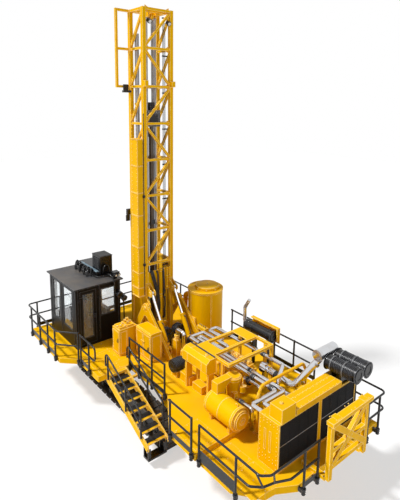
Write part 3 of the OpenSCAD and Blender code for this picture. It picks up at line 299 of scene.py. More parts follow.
def treadPattern(tree):
    # Raised bars of tread plate, laid two ways.
    where = addNode(tree, "TexCoord").outputs["Object"]
    bars = []
    for turn in (45, -45):
        mapping = addNode(tree, "Mapping", Vector=where, Rotation=(0, 0, math.radians(turn)),
                          Scale=(9, 26, 1))
        cells = addNode(tree, "TexVoronoi", {"voronoi_dimensions": "2D", "distance": "CHEBYCHEV"},
                        Vector=mapping.outputs["Vector"], Randomness=0, Scale=1)
        bars.append(ramp(tree, cells.outputs["Distance"], 0.40, 0.28))
    return times(tree, *bars)


def paintMaterial(name, row):
    s = dict(zip(finishColumns, row))
    material, tree, shader = newMaterial(name, Coat_Weight=s["coat"], Coat_Roughness=0.15,
                                         Specular_IOR_Level=s["specular"])
    paint = groupOf(tree, paintGroup, Colour=(*s["colour"], 1), Drift=s["drift"], Chips=s["chips"],
                    Primer=(*s["primer"], 1))
    dust = groupOf(tree, dustGroup, Dust=s["dust"], Grime=s["grime"])
    edge = groupOf(tree, edgeHighlightGroup, Wear=s["edgeHighlight"], Width=s["edgeWidth"])
    colour = mixColour(tree, dust["Dust Mask"], paint["Colour"], paintSettings["dust"])
    colour = mixColour(tree, dust["Grime Mask"], colour, paintSettings["grime"])
    # Painted highlight: sharp edges are mixed toward the pale edge colour.
    feed(tree, mixColour(tree, edge["Edge Mask"], colour, (*s["edge"], 1)), shader["Base Color"])
    rough = plus(tree, paint["Roughness"], s["rough"])
    feed(tree, plus(tree, rough, times(tree, dust["Dust Mask"], 0.5)), shader["Roughness"])
    height = paint["Height"]
    if name in paintSettings["tread"]:
        height = plus(tree, height, times(tree, treadPattern(tree), paintSettings["tread"][name]))
    addBump(tree, shader, height, 0.35, 0.004)
    return material


def metalMaterial(name, colour, rough, stain, lines):
    material, tree, shader = newMaterial(name, Metallic=1, Coat_Weight=0)
    metal = groupOf(tree, brushedGroup, Colour=(*colour, 1), Stain=stain, Lines=lines)
    dust = groupOf(tree, dustGroup, Dust=0.12, Grime=0.1)
    dusty = mixColour(tree, dust["Dust Mask"], metal["Colour"], (0.35, 0.3, 0.24, 1))
    feed(tree, dusty, shader["Base Color"])
    feed(tree, plus(tree, metal["Roughness"], rough), shader["Roughness"])
    addBump(tree, shader, metal["Height"], 0.15, 0.002)
    return material


def rubberMaterial(name, colour, rough):
    material, tree, shader = newMaterial(name)
    pale = (*[c * 2.2 + 0.01 for c in colour], 1)
    feed(tree, mixColour(tree, noiseRamp(tree, 9, 5, 0.4, 0.75), (*colour, 1), pale), shader["Base Color"])
    feed(tree, plus(tree, times(tree, noiseAt(tree, 30, 3), 0.15), rough), shader["Roughness"])
    addBump(tree, shader, noiseAt(tree, 160, 2), 0.2, 0.002)
    return material


def glassMaterial(name, colour, through):
    material, tree, shader = newMaterial(name, Transmission_Weight=through, IOR=1.45)
    smear = noiseRamp(tree, 4.2, 6, 0.45, 0.85)
    feed(tree, mixColour(tree, smear, (*colour, 1), (*[c * 0.94 for c in colour], 1)), shader["Base Color"])
    feed(tree, times(tree, smear, 0.03), shader["Roughness"])
    return material


def clothMaterial(name, colour, shade):
    # A plain weave of two threads with a soft sheen.
    material, tree, shader = newMaterial(name, Sheen_Weight=0.3)
    where = addNode(tree, "TexCoord").outputs["Object"]
    threads = [addNode(tree, "TexWave", {"bands_direction": way}, Vector=where, Scale=60).outputs["Fac"]
               for way in ("X", "Y")]
    weave = times(tree, *threads)
    worn = noiseRamp(tree, 7, 4, 0.35, 0.7)
    feed(tree, mixColour(tree, times(tree, weave, worn), (*shade, 1), (*colour, 1)), shader["Base Color"])
    feed(tree, plus(tree, times(tree, worn, 0.1), 0.75), shader["Roughness"])
    addBump(tree, shader, weave, 0.3, 0.002)
    return material


materials = {name: paintMaterial(name, s) for name, s in finishes.items()}
for name, maker, *values in (
        ("chrome", metalMaterial, (0.66, 0.67, 0.69), 0.10, 0.6, 0.25),
        ("steel", metalMaterial, (0.34, 0.34, 0.35), 0.28, 0.6, 0.4),
        # The drill pipe's steel is darkened and warmed brown: painted shade and a painted warm reflection for
        # a pipe that sits in shadow.
        ("steelPaintedShade", metalMaterial, (0.10, 0.085, 0.07), 0.34, 0.6, 0.4),
        ("rubber", rubberMaterial, (0.012, 0.012, 0.013), 0.5),
        ("glass", glassMaterial, (0.93, 0.96, 0.97), 0.95),
        ("lampGlass", glassMaterial, (0.95, 0.95, 0.92), 0.35),
        ("seatCloth", clothMaterial, (0.10, 0.11, 0.05), (0.05, 0.055, 0.03))):
    materials[name] = maker(name, *values)
print("stage: materials")

nodeFinish = {
    "yellowDeck": "deck rear_deck",
    "yellowPaint": "main_frame stairs cabinet_controls cabinet_valves dust_collector a_frame "
                   "lift_barrel_near lift_barrel_far mast_side_near mast_side_far mast_bracing mast_crown "
                   "mast_column engine compressor canopy_frame hydraulic_tank receiver_tank cooler_housing "
                   "mast_rest",
    "blackPaint": "stair_handrails rails_front rails_near rails_rear cab_aircon exhaust_muffler air_cleaners "
                  "hose_drums",
    "coreBlack": "cooler_cores",
    "cabPaint": "cab_shell cab_door",
    "trackIron": "crawler_near_frame crawler_far_frame crawler_near_track crawler_far_track",
    "chrome": "lift_rod_near lift_rod_far intake_pipe pipework",
    "steel": "mast_guides",
    # drill_pipe takes the darkened steel, with its painted shade.
    "steelPaintedShade": "drill_pipe",
    "greyPaint": "rotary_head cab_interior",
}


def paintNodes(table):
    for finish, names in table.items():
        for name in names.split():
            nodes[name].data.materials.clear()
            nodes[name].data.materials.append(materials[finish])


def paintFaces(name, finish, test):
    # Faces of a CAD node whose middle passes the test get a second finish.
    mesh = nodes[name].data
    mesh.materials.append(materials[finish])
    slotIndex = len(mesh.materials) - 1
    for face in mesh.polygons:
        if test(face.center - at(0, 0, 0), face.normal):
            face.material_index = slotIndex


paintNodes(nodeFinish)
print("stage: nodes painted")

floorSettings = {"size": 160, "z": -0.002, "colour": (0.86, 0.86, 0.86, 1), "glow": 0.55}


def makeFloor(s):
    bpy.ops.mesh.primitive_plane_add(size=s["size"], location=(0, 0, s["z"]))
    floor = bpy.context.object
    floor.name = "studioFloor"
    looks = {"Base_Color": s["colour"], "Roughness": 0.9, "Specular_IOR_Level": 0.1}
    material, tree = newMaterial("paleFloor", **looks)[:2]
    factor = times(tree, seenThrough(tree)[1], s["glow"])
    lit = mixShaders(tree, factor, tree.nodes["Principled BSDF"], addNode(tree, "Emission", Strength=1))
    tree.links.new(lit, tree.nodes["Material Output"].inputs[0])
    floor.data.materials.append(material)


makeFloor(floorSettings)

# Tools for modelling the small pieces


def clearSelection():
    if bpy.context.mode != "OBJECT":
        bpy.ops.object.mode_set(mode="OBJECT")
    bpy.ops.object.select_all(action="DESELECT")


def applyPlace():
    bpy.ops.object.transform_apply(location=True, rotation=True, scale=True)
    return bpy.context.object


def startBox(low, high):
    clearSelection()
    low, high = Vector(low), Vector(high)
    bpy.ops.mesh.primitive_cube_add(size=1, location=(low + high) / 2)
    bpy.context.object.scale = high - low
    return applyPlace()


def startCylinder(a, b, radius, sides=24):
    clearSelection()
    a, b = Vector(a), Vector(b)
    turn = (b - a).to_track_quat("Z", "Y").to_euler()
    bpy.ops.mesh.primitive_cylinder_add(vertices=sides, radius=radius, depth=(b - a).length,
                                        location=(a + b) / 2, rotation=turn)
    return applyPlace()


def pickFaces(piece, test=lambda face: True):
    # Enters edit mode with only the faces that pass the test selected.
    clearSelection()
    piece.select_set(True)
    bpy.context.view_layer.objects.active = piece
    bpy.ops.object.mode_set(mode="EDIT")
    bpy.ops.mesh.select_mode(type="FACE")
    bpy.ops.mesh.select_all(action="DESELECT")
    bpy.ops.object.mode_set(mode="OBJECT")
    for face in piece.data.polygons:
        face.select = test(face)
    bpy.ops.object.mode_set(mode="EDIT")


def facing(direction, least=0.9):
    direction = Vector(direction).normalized()
    return lambda face: face.normal.dot(direction) > least


def bevelAll(piece, width, segments=1):
    pickFaces(piece)
    bpy.ops.mesh.bevel(offset=width, segments=segments, affect="EDGES")
    bpy.ops.object.mode_set(mode="OBJECT")
    return piece


def stepped(piece, direction, steps, bevel=0, least=0.9, segments=1):
    # Insets the faces that look one way and pushes them out or in, once for each step.
    for inset, depth in steps:
        pickFaces(piece, facing(direction, least))
        bpy.ops.mesh.inset(thickness=inset)
        push = Vector(direction).normalized() * depth
        bpy.ops.mesh.extrude_region_move(TRANSFORM_OT_translate={"value": push})
        bpy.ops.object.mode_set(mode="OBJECT")
    return bevelAll(piece, bevel, segments) if bevel else piece


def openThrough(piece, direction, inset):
    # Turns a block into a frame that is open along one direction.
    axis = Vector(direction).normalized()
    pickFaces(piece, lambda face: abs(face.normal.dot(axis)) > 0.9)
    bpy.ops.mesh.inset(thickness=inset)
    bpy.ops.mesh.bridge_edge_loops()
    bpy.ops.object.mode_set(mode="OBJECT")
    return piece


def subdivideAll(piece, cuts):
    pickFaces(piece)
    bpy.ops.mesh.subdivide(number_cuts=cuts)
    bpy.ops.object.mode_set(mode="OBJECT")
    return piece


def joinAll(pieces):
    clearSelection()
    for piece in pieces:
        piece.select_set(True)
    bpy.context.view_layer.objects.active = pieces[0]
    if len(pieces) > 1:
        bpy.ops.object.join()
    return bpy.context.object


def copiesOf(piece, moves):
    # One copy with its own mesh for each (shift, turn); the model itself goes.
    made = []
    for shift, turn in moves:
        copy = piece.copy()
        copy.data = piece.data.copy()
        bpy.context.collection.objects.link(copy)
        spin = Matrix.Rotation(turn[0], 4, turn[1]) if turn else Matrix.Identity(4)
        copy.data.transform(Matrix.Translation(Vector(shift)) @ spin)
        made.append(copy)
    bpy.data.objects.remove(piece)
    return made


def finishPiece(piece, name, finish="yellowPaint", body="frame", smooth=35):
    # Takes one object, or a list of objects to join.
    if isinstance(piece, list):
        piece = joinAll(piece)
    clearSelection()
    piece.select_set(True)
    bpy.context.view_layer.objects.active = piece
    bpy.ops.object.shade_smooth_by_angle(angle=math.radians(smooth))
    piece.name = name
    piece.data.materials.clear()
    piece.data.materials.append(materials[finish])
    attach(piece, body)
    return piece


def scatter(piece, places, name, finish, body="frame"):
    # One modelled piece, copied to every place in the layout and joined.
    return finishPiece(copiesOf(piece, [(at(*place), None) for place in places]), name, finish, body)


# From here on, tools with deck in their name take places in the layout.


def deckBox(low, high, bevel=0, segments=1):
    piece = startBox(at(*low), at(*high))
    return bevelAll(piece, bevel, segments) if bevel else piece


def boxRow(boxes, bevel, name, finish="yellowPaint", body="frame", segments=1):
    # Bevelled boxes, joined into one piece.
    return finishPiece([deckBox(low, high, bevel, segments) for low, high in boxes], name, finish, body)


def deckRod(a, b, radius, sides=24):
    return startCylinder(at(*a), at(*b), radius, sides)


def deckBand(a, b, radius, lip=0.012, sides=32):
    return bandOn(at(*a), at(*b), radius, lip, sides)


def deckTube(points, radius, sides=5):
    # A round line through control points, as a mesh.
    clearSelection()
    bpy.ops.curve.primitive_nurbs_path_add(location=(0, 0, 0))
    curve = bpy.context.object.data
    curve.splines.clear()
    path = curve.splines.new("NURBS")
    path.points.add(len(points) - 1)
    for point, place in zip(path.points, points):
        point.co = (*at(*place), 1)
    path.order_u = 3
    path.use_endpoint_u = True
    path.resolution_u = 8
    curve.bevel_depth = radius
    curve.bevel_resolution = sides
    curve.use_fill_caps = True
    bpy.ops.object.convert(target="MESH")
    return bpy.context.object


def deckCap(a, way, depth, radius, steps, bevel=0, sides=24):
    # A round cap that stands on a place and looks one way, with stepped faces.
    rod = deckRod(a, [p + q * depth for p, q in zip(a, way)], radius, sides)
    return stepped(rod, way, steps, bevel)


def bandRow(places, run, radius, lip, name, finish="yellowPaint", body="frame", sides=32):
    # Bands that run the same way from each place.
    bands = [deckBand(place, [p + q for p, q in zip(place, run)], radius, lip, sides) for place in places]
    return finishPiece(bands, name, finish, body)


def hexBolt(place, direction, size=0.022, height=0.016):
    # Washer and hexagon head, looking along one direction.
    way, place = Vector(direction).normalized(), Vector(place)
    bolt = startCylinder(place, place + way * height * 0.35, size, 12)
    return stepped(bolt, way, ((size * 0.25, height * 0.65),))


def boltRow(places, direction, name, finish="yellowPaint", body="frame", size=0.022):
    return scatter(hexBolt((0, 0, 0), direction, size), places, name, finish, body)


def bandOn(a, b, radius, lip=0.012, sides=32):
    # A clamp band: a ring with a raised middle between two points on the axis.
    a, b = Vector(a), Vector(b)
    way = (b - a).normalized()
    ring = startCylinder(a, b, radius, sides)
    pickFaces(ring, lambda face: abs(face.normal.dot(way)) < 0.3)
    bpy.ops.mesh.inset(thickness=(b - a).length * 0.28)
    bpy.ops.object.mode_set(mode="OBJECT")
    middle = (a + b) / 2
    for corner in ring.data.vertices:
        along = (corner.co - middle).dot(way)
        if abs(along) < (b - a).length * 0.3:
            out = corner.co - middle - way * along
            corner.co += out.normalized() * lip
    return ring


def spread(first, last, count):
    return [first + (last - first) * i / (count - 1) for i in range(count)]


def ringOf(centre, radius, count, axis):
    # Places round a circle that lies across one axis.
    u, v = [i for i in range(3) if i != axis]
    places = []
    for a in spread(0, math.tau, count + 1)[:-1]:
        place = list(centre)
        place[u] += radius * math.cos(a)
        place[v] += radius * math.sin(a)
        places.append(place)
    return places


# Cab

cabSettings = {"x0": -5.90, "x1": -3.43, "y0": -2.75, "y1": -0.85, "top": 2.44, "sill": 0.64, "inset": 0.03,
               "glass": 0.008, "seal": 0.028}


def makeCabGlass(s):
    x0, x1, y0, y1, sill, head = s["x0"], s["x1"], s["y0"], s["y1"], s["sill"], s["top"] - 0.2
    nearY, farY, frontX, rearX = y0 + s["inset"], y1 - s["inset"], x0 + s["inset"], x1 - s["inset"]
    for name, low, high, axis, body in (
            ("NearFront", (x0 + 0.33, nearY, sill), (x0 + 1.0, nearY, head), 1, "frame"),
            ("NearRear", (x0 + 1.3, nearY, sill), (x1 - 0.34, nearY, head), 1, "frame"),
            ("Far", (x0 + 0.3, farY, sill), (x1 - 0.3, farY, head), 1, "frame"),
            ("Front", (frontX, y0 + 0.25, sill), (frontX, y1 - 0.25, head), 0, "frame"),
            ("Rear", (rearX, y0 + 1.04, 1.1), (rearX, y0 + 1.66, s["top"] - 0.24), 0, "frame"),
            ("Door", (rearX + 0.003, y0 + 0.29, 0.35), (rearX + 0.003, y0 + 0.73, 2.14), 0, "door")):
        low, high = at(*low), at(*high)
        thin, deep = [Vector([across if i == axis else along for i in range(3)])
                      for across, along in ((s["glass"] / 2, -0.004), (0.022, -0.001))]
        finishPiece(bevelAll(startBox(low - thin, high + thin), 0.002), "cabPane" + name, "glass", body)
        seal = openThrough(startBox(low - deep, high + deep), (plusX, plusY)[axis], s["seal"])
        finishPiece(bevelAll(seal, 0.004), "cabSeal" + name, "rubber", body)


def makeCabTrim(s):
    # Gutter round the roof, the door handle, a grab rail and strips at the corners.
    x0, x1, y0, y1, top = [s[key] for key in ("x0", "x1", "y0", "y1", "top")]
    gutter = deckBox((x0 - 0.09, y0 - 0.09, top - 0.05), (x1 + 0.09, y1 + 0.09, top - 0.03))
    finishPiece(bevelAll(openThrough(gutter, up, 0.03), 0.004), "cabGutter", "cabPaint")
    for name, body, y, root, out, radius, levels in (
            ("cabDoorHandle", "door", y0 + 0.80, x1 + 0.005, x1 + 0.07, 0.016, (0.98, 1.02, 1.28, 1.32)),
            ("cabGrabRail", "frame", y0 + 0.93, x1 + 0.003, x1 + 0.1, 0.017, (0.5, 0.6, 1.8, 1.9))):
        bow = [(out, y, z) for z in levels]
        tube = deckTube([(root, y, levels[0])] + bow + [(root, y, levels[-1])], radius)
        finishPiece(tube, name, "blackPaint", body)
    strips = [((x - 0.025, y0 - 0.014, 0.15), (x + 0.025, y0, top - 0.06))
              for x in (x0 + 0.15, x0 + 1.15, x1 - 0.17)]
    strips += [((x1, y - 0.02, 0.15), (x1 + 0.014, y + 0.02, top - 0.06))
               for y in (y0 + 0.09, y0 + 0.99, y1 - 0.08)]
    boxRow(strips, 0.005, "cabCornerStrips", "cabPaint")


airconSettings = {
    "low": (-5.84, -1.55), "deckTop": 2.65, "boxTop": 3.24, "boxX": (-4.70, -4.03), "boxY": (-1.40, -0.86),
    "roof": 2.44, "pipes": 17, "louvres": 8, "ribs": 22,
    "runs": (((-4.30, -1.60, 2.50), (-3.95, -1.62, 2.50), (-3.90, -1.45, 2.50), (-3.88, -1.15, 2.50),
              (-3.80, -1.02, 2.50)),
             ((-4.01, -1.32, 2.52), (-3.93, -1.32, 2.60), (-3.93, -1.30, 2.86), (-3.93, -1.18, 2.92),
              (-3.93, -1.08, 2.84), (-3.93, -1.06, 2.60), (-4.01, -1.06, 2.52)),
             ((-3.93, -1.20, 2.50), (-3.75, -1.22, 2.62), (-3.55, -1.20, 2.60), (-3.38, -1.18, 2.50),
              (-3.30, -1.17, 2.35), (-3.30, -1.17, 2.02), (-3.28, -1.10, 1.88), (-3.22, -1.04, 1.86)))}


def makeAircon(s):
    # Louvred front on the tall box, a ribbed strip on the low one, and fittings with their lines.
    (lowX, y), (x0, x1), (y0, y1), roof = s["low"], s["boxX"], s["boxY"], s["roof"]
    deckTop, boxTop = s["deckTop"], s["boxTop"]
    slats = [stepped(deckBox((x0 + 0.06, y0 - 0.03, z - 0.012), (x1 - 0.06, y0 + 0.002, z + 0.012)), minusY,
                     ((0.006, 0.01),)) for z in spread(deckTop + 0.12, boxTop - 0.1, s["louvres"])]
    finishPiece(slats, "airconLouvres", "cabPaint")
    lid = deckBox((x0 - 0.02, y0 - 0.02, boxTop), (x1 + 0.02, y1 + 0.02, boxTop + 0.02))
    finishPiece(stepped(lid, up, ((0.05, 0.012),), 0.006), "airconLid", "cabPaint")
    ribs = [deckBox((x - 0.014, y + 0.01, deckTop), (x + 0.014, y + 0.11, deckTop + 0.032), 0.005)
            for x in spread(lowX + 0.30, x1 - 0.10, s["ribs"])]
    ribs.append(deckBox((lowX + 0.26, y + 0.004, deckTop), (x1 - 0.06, y + 0.12, deckTop + 0.012), 0.003))
    finishPiece(ribs, "airconCoil", "paleBlue")
    # A bundle of pipes hangs over the near edge of the low box, each with a nut on its upper end.
    pipes, nuts = [], []
    for k, x in enumerate(spread(lowX + 0.08, x1 - 0.35, s["pipes"])):
        out, high, lean = 0.10 + 0.045 * (k % 4), 0.02 + 0.05 * (k * 2 % 3), 0.05 * (k % 3)
        pipes.append(deckTube([
            (x, y + 0.03, roof + 0.13), (x, y - 0.02, roof + 0.15 + high),
            (x + lean, y - out, roof + 0.18 + high), (x + 0.06 + lean, y - out - 0.05, roof + 0.09),
            (x + 0.08 + lean, y - out - 0.03, roof + 0.02)],
            0.027 + 0.006 * (k % 2)))
        ends = [(x + lean * t, y - out * t - 0.01, roof + z + high) for t, z in ((0.4, 0.16), (0.6, 0.17))]
        nuts.append(bevelAll(deckRod(*ends, 0.044, 6), 0.004))
    finishPiece(pipes, "airconPipes", "blackPaint")
    finishPiece(nuts, "airconPipeNuts", "blackPaint")
    # Lines along the roof's rear edge, an arch up the box, and one over the edge to the corner lamp.
    finishPiece([deckTube(run, 0.026, 4) for run in s["runs"]], "airconLines", "blackPaint")


lampSettings = {"roofX": -3.30, "roofY": (-1.09, -0.95),
                "corner": ((-3.20, -1.02, 1.88, 0.13), (-3.16, -0.84, 1.70, 0.12)),
                "post": (-3.24, -0.80)}


def makeCabLamps(s):
    # Two work lamps on the roof block, and a cluster of lamps on a post at the corner below it.
    lamps, glasses = [], []
    roofX = s["roofX"]
    for y in s["roofY"]:
        body = deckRod((roofX - 0.072, y, 2.65), (roofX, y, 2.64), 0.06)
        lamps.append(stepped(body, (1, 0, -0.1), ((0.008, 0.012), (0.012, -0.008)), least=0.8))
        lens = deckRod((roofX, y, 2.64), (roofX + 0.012, y, 2.638), 0.042)
        glasses.append(stepped(lens, (1, 0, -0.1), ((0.016, 0.005),), least=0.8))
    for x, y, z, radius in s["corner"]:
        body = deckRod((x - 0.10, y, z + 0.02), (x + 0.06, y, z - 0.01), radius, 28)
        stepped(body, (-1, 0, 0.2), ((radius * 0.35, 0.05),), least=0.8)
        lamps.append(stepped(body, (1, 0, -0.2), ((0.012, 0.016), (0.018, -0.012)), least=0.8))
        lens = deckRod((x + 0.06, y, z - 0.01), (x + 0.076, y, z - 0.013), radius - 0.035, 28)
        lamps.append(stepped(lens, (1, 0, -0.2), ((0.03, 0.008),), least=0.8))
    x, y = s["post"]
    post = deckTube([(x, y, 0.0), (x, y, 0.5), (x, y, 1.4), (x, y - 0.03, 1.62), (x, y - 0.12, 1.78)], 0.026)
    foot = deckCap((x, y, 0.0), up, 0.02, 0.07, ((0.03, 0.03),), sides=20)
    finishPiece(lamps + [post, foot], "cabLampBodies", "blackPaint")
    finishPiece(glasses, "cabLampLenses", "lampGlass")


seatSettings = {"x": -4.70, "y": -1.50, "top": 0.68, "half": 0.27, "cuts": 4, "wheel": (-5.12, -1.50, 1.02)}


def makeSeat(s):
    # Two cushions, crowned by a cage of subdivisions and a seam pressed in.
    x, y, top, half = [s[key] for key in ("x", "y", "top", "half")]
    for name, depth, low, high in (("seatCushion", half, 0.002, 0.11), ("seatBack", -0.12, 0.13, 0.66)):
        cushion = deckBox((x - half, y - 0.25, top + low), (x + half, y + depth, top + high))
        subdivideAll(cushion, s["cuts"])
        wide = max(cushion.data.polygons, key=lambda face: face.area).normal.copy()
        pickFaces(cushion, facing(wide))
        bpy.ops.mesh.inset(thickness=0.02)
        bpy.ops.object.mode_set(mode="OBJECT")
        soften = cushion.modifiers.new("soften", "SUBSURF")
        soften.levels = soften.render_levels = 2
        bpy.ops.object.modifier_apply(modifier="soften")
        finishPiece(cushion, name, "seatCloth", smooth=60)
    wheel = deckCap(s["wheel"], up, 0.04, 0.09, ((0.03, -0.02),), sides=20)
    screen = stepped(deckBox((-5.22, -1.62, 1.0), (-5.18, -1.22, 1.3), 0.008), plusX, ((0.03, -0.006),))
    finishPiece([wheel, screen], "cabControls", "rubber")


makeCabGlass(cabSettings)
makeCabTrim(cabSettings)
makeAircon(airconSettings)
makeCabLamps(lampSettings)
makeSeat(seatSettings)
print("stage: cab")

# Guard rails, stairs and deck

# Each row of posts: the x places, the y places, the height of the foot, and the way out.
railSettings = {
    "collar": 0.062, "bolts": (-0.06, -0.12), "boltSize": 0.014,
    "rows": (((-5.87,), (2.52, 1.5, 0.3, -0.45), 0, minusX), ((-6.27,), (-1.0, -2.2, -3.2), 0, minusX),
             ((-5.9, -5.0, -4.2, -3.5), (-3.57,), 0, minusY), ((-2.705, -2.5, -1.85), (-3.02,), 0, minusY),
             ((-1.24, -0.6, 0.2, 0.94), (-1.74,), 0, minusY), ((2.54, 3.52), (-2.67,), 0, minusY),
             ((3.69, 5.11), (-2.54,), -0.15, minusY), ((6.05,), (-1.08, -0.52, 1.8, 2.4), -0.15, plusX),
             ((-5.24, -4.15, -3.06, -0.64, 0.05, 0.74, 1.66, 2.57, 3.48), (2.72,), 0, plusY),
             ((5.05,), (2.72,), -0.15, plusY))}


def makeRailClamps(s):
    parts = [bandOn((0, 0, -0.035), (0, 0, 0.014), s["collar"], 0.006, 24)]
    parts += [hexBolt((0, -0.048, z), minusY, s["boltSize"], 0.022) for z in s["bolts"]]
    moves = [(at(x, y, z), (math.atan2(way[1], way[0]) + math.pi / 2, "Z"))
             for xs, ys, z, way in s["rows"] for x in xs for y in ys]
    finishPiece(copiesOf(joinAll(parts), moves), "railClamps", "blackPaint")


stairSettings = {"x": -1.18, "z": -0.06, "run": 0.355, "rise": 0.165, "treads": 7, "y0": -2.62, "y1": -1.92,
                 "mat": 0.215, "bars": 7}


def makeTreads(s):
    # A dark mat with grip bars on each tread leaves the nosing bare.
    parts = [startBox((0.042, s["y0"] + 0.004, 0.035), (0.042 + s["mat"], s["y1"] - 0.004, 0.041))]
    for x in spread(0.055, 0.03 + s["mat"], s["bars"]):
        bar = startBox((x - 0.008, s["y0"] + 0.02, 0.040), (x + 0.008, s["y1"] - 0.02, 0.049))
        parts.append(bevelAll(bar, 0.002))
    places = [(s["x"] + i * s["run"], 0, s["z"] - (i + 1) * s["rise"]) for i in range(s["treads"])]
    scatter(joinAll(parts), places, "stairTreadMats", "rubber")


deckSettings = {"thick": 0.006, "plates": (
    (2.50, -2.50, 3.52, -1.62, 0), (3.72, -2.36, 4.55, -1.40, -0.15), (4.62, -2.36, 5.55, -1.40, -0.15),
    (-1.72, -2.80, -1.36, -1.30, 0), (-2.62, -2.84, -1.80, -1.80, 0), (-3.30, -2.86, -2.72, -0.80, 0))}


def makeDeckPlates(s):
    plates, places = [], []
    for x0, y0, x1, y1, z in s["plates"]:
        plates.append(deckBox((x0, y0, z), (x1, y1, z + s["thick"]), 0.003))
        for x in (x0 + 0.05, (x0 + x1) / 2, x1 - 0.05):
            places += [(x, y, z + s["thick"]) for y in (y0 + 0.05, (y0 + y1) / 2, y1 - 0.05)]
    finishPiece(plates, "deckCoverPlates", "yellowDeck")
    boltRow(places, up, "deckCoverBolts", size=0.016)


makeRailClamps(railSettings)
makeTreads(stairSettings)
makeDeckPlates(deckSettings)
print("stage: rails, stairs and deck")

# Mast

mastSettings = {
    "x1": -2.45, "y0": -0.295, "y1": 1.055, "level": 3.095, "bay": 1.37, "bays": 8,
    "columnX": (-2.93, -2.45), "columnY": -0.58,
    "flanges": (1.875, 2.225, 2.835, 3.875, 5.115, 5.985, 7.01, 8.018),
    "lines": (0.72, 0.77, 0.82), "lineX": -2.66,
    "feet": ((0.40, 0.055, 0.55, 2.86), (0.72, 0.038, 1.95, 2.86), (0.84, 0.034, 1.95, 2.86)),
    "loops": ((-0.05, 0.30, 0.034, 1.30, 2.80), (0.02, 0.32, 0.040, 1.10, 2.82),
              (0.26, 0.02, 0.028, 0.80, 2.75), (0.52, 0.03, 0.045, 1.70, 2.80),
              (0.60, -0.03, 0.036, 0.75, 1.60)),
    "brackets": (((-3.40, -0.62, 9.72), (-3.26, -0.30, 9.80)), ((-3.36, -0.60, 9.80), (-3.30, -0.40, 10.02)),
                 ((-3.60, -0.42, 4.95), (-3.49, -0.20, 5.18)), ((-3.56, -0.46, 4.70), (-3.50, -0.30, 4.95)),
                 ((-2.45, 0.02, 4.72), (-2.40, 0.16, 4.90)))}


def makeMastLines(s):
    # Steel feed lines clipped inside the far rear column, and black ones looped at the foot.
    x = s["lineX"]
    lines = [deckTube([(x, y, z) for z in (0.45, 4, 8, 12.3)], 0.012, 3) for y in s["lines"]]
    finishPiece(lines, "mastFeedLines", "blackPaint", "mast")
    levels = [s["level"] + i * s["bay"] - 0.25 for i in range(s["bays"])]
    clips = [((x - 0.022, s["lines"][0] - 0.03, z), (x + 0.022, s["y1"] - 0.13, z + 0.05)) for z in levels]
    boxRow(clips, 0.006, "mastLineClips", "blackPaint", "mast")
    # Feed cylinders stand between the columns at the foot, with black lines looped past them.
    tubes = []
    for y, radius, low, high in s["feet"]:
        x = -2.44 + radius
        tubes.append(deckRod((x, y, low), (x, y, high), radius))
        tubes += [deckBand((x, y, z), (x, y, z + 0.10), radius + 0.006, 0.008, 24)
                  for z in (low, high - 0.10, (low + high) / 2)]
    finishPiece(bevelAll(joinAll(tubes), 0.004), "mastFootCylinders", "yellowPaint", "mast")
    hoses, places = [], []
    for y, lean, radius, low, high in s["loops"]:
        hoses.append(deckTube([
            (-2.44, y, high), (-2.38, y, high), (-2.37, y + lean * 0.2, high - 0.25),
            (-2.36, y + lean * 0.7, (low + high) / 2), (-2.37, y + lean, low + 0.30), (-2.38, y + lean, low),
            (-2.44, y + lean, low)], radius))
        places += [(-2.45, y + lean * end, low + (high - low) * (1 - end)) for end in (0, 1)]
    finishPiece(hoses, "mastFootLines", "rubber", "mast")
    scatter(hexBolt((0, 0, 0), plusX, 0.044, 0.03), places, "mastFootFittings", "blackPaint", "mast")


def makeColumnFittings(s):
    (x0, x1), y = s["columnX"], s["columnY"]
    near = [(x, y, z) for z in s["flanges"] for x in spread(x0 + 0.05, x1 - 0.05, 5)]
    boltRow(near, minusY, "columnBoltsNear", body="mast", size=0.012)
    rear = [(x1, y + dy, z) for z in s["flanges"] for dy in (0.05, 0.14, 0.23)]
    boltRow(rear, plusX, "columnBoltsRear", body="mast", size=0.012)
    studs = [(x, y, z) for x in (x0 + 0.12, x1 - 0.04) for z in spread(2.0, 8.9, 46)]
    boltRow(studs, minusY, "columnStuds", body="mast", size=0.016)
    # A line down the joint between column and mast, held by two round clamps.
    x, y = x1 + 0.016, s["y0"] - 0.02
    clamps = [deckBand((x, y, z), (x, y, z + 0.10), 0.045, 0.012, 20) for z in (3.10, 5.80)]
    line = deckTube([(x, y, z) for z in (1.9, 4, 7, 8.95)], 0.014, 4)
    finishPiece(clamps + [line], "columnLine", "blackPaint", "mast")
    brackets = [stepped(deckBox(low, high), minusY, ((0.015, 0.012),), 0.004) for low, high in s["brackets"]]
    finishPiece(brackets, "mastBrackets", "blackPaint", "mast")


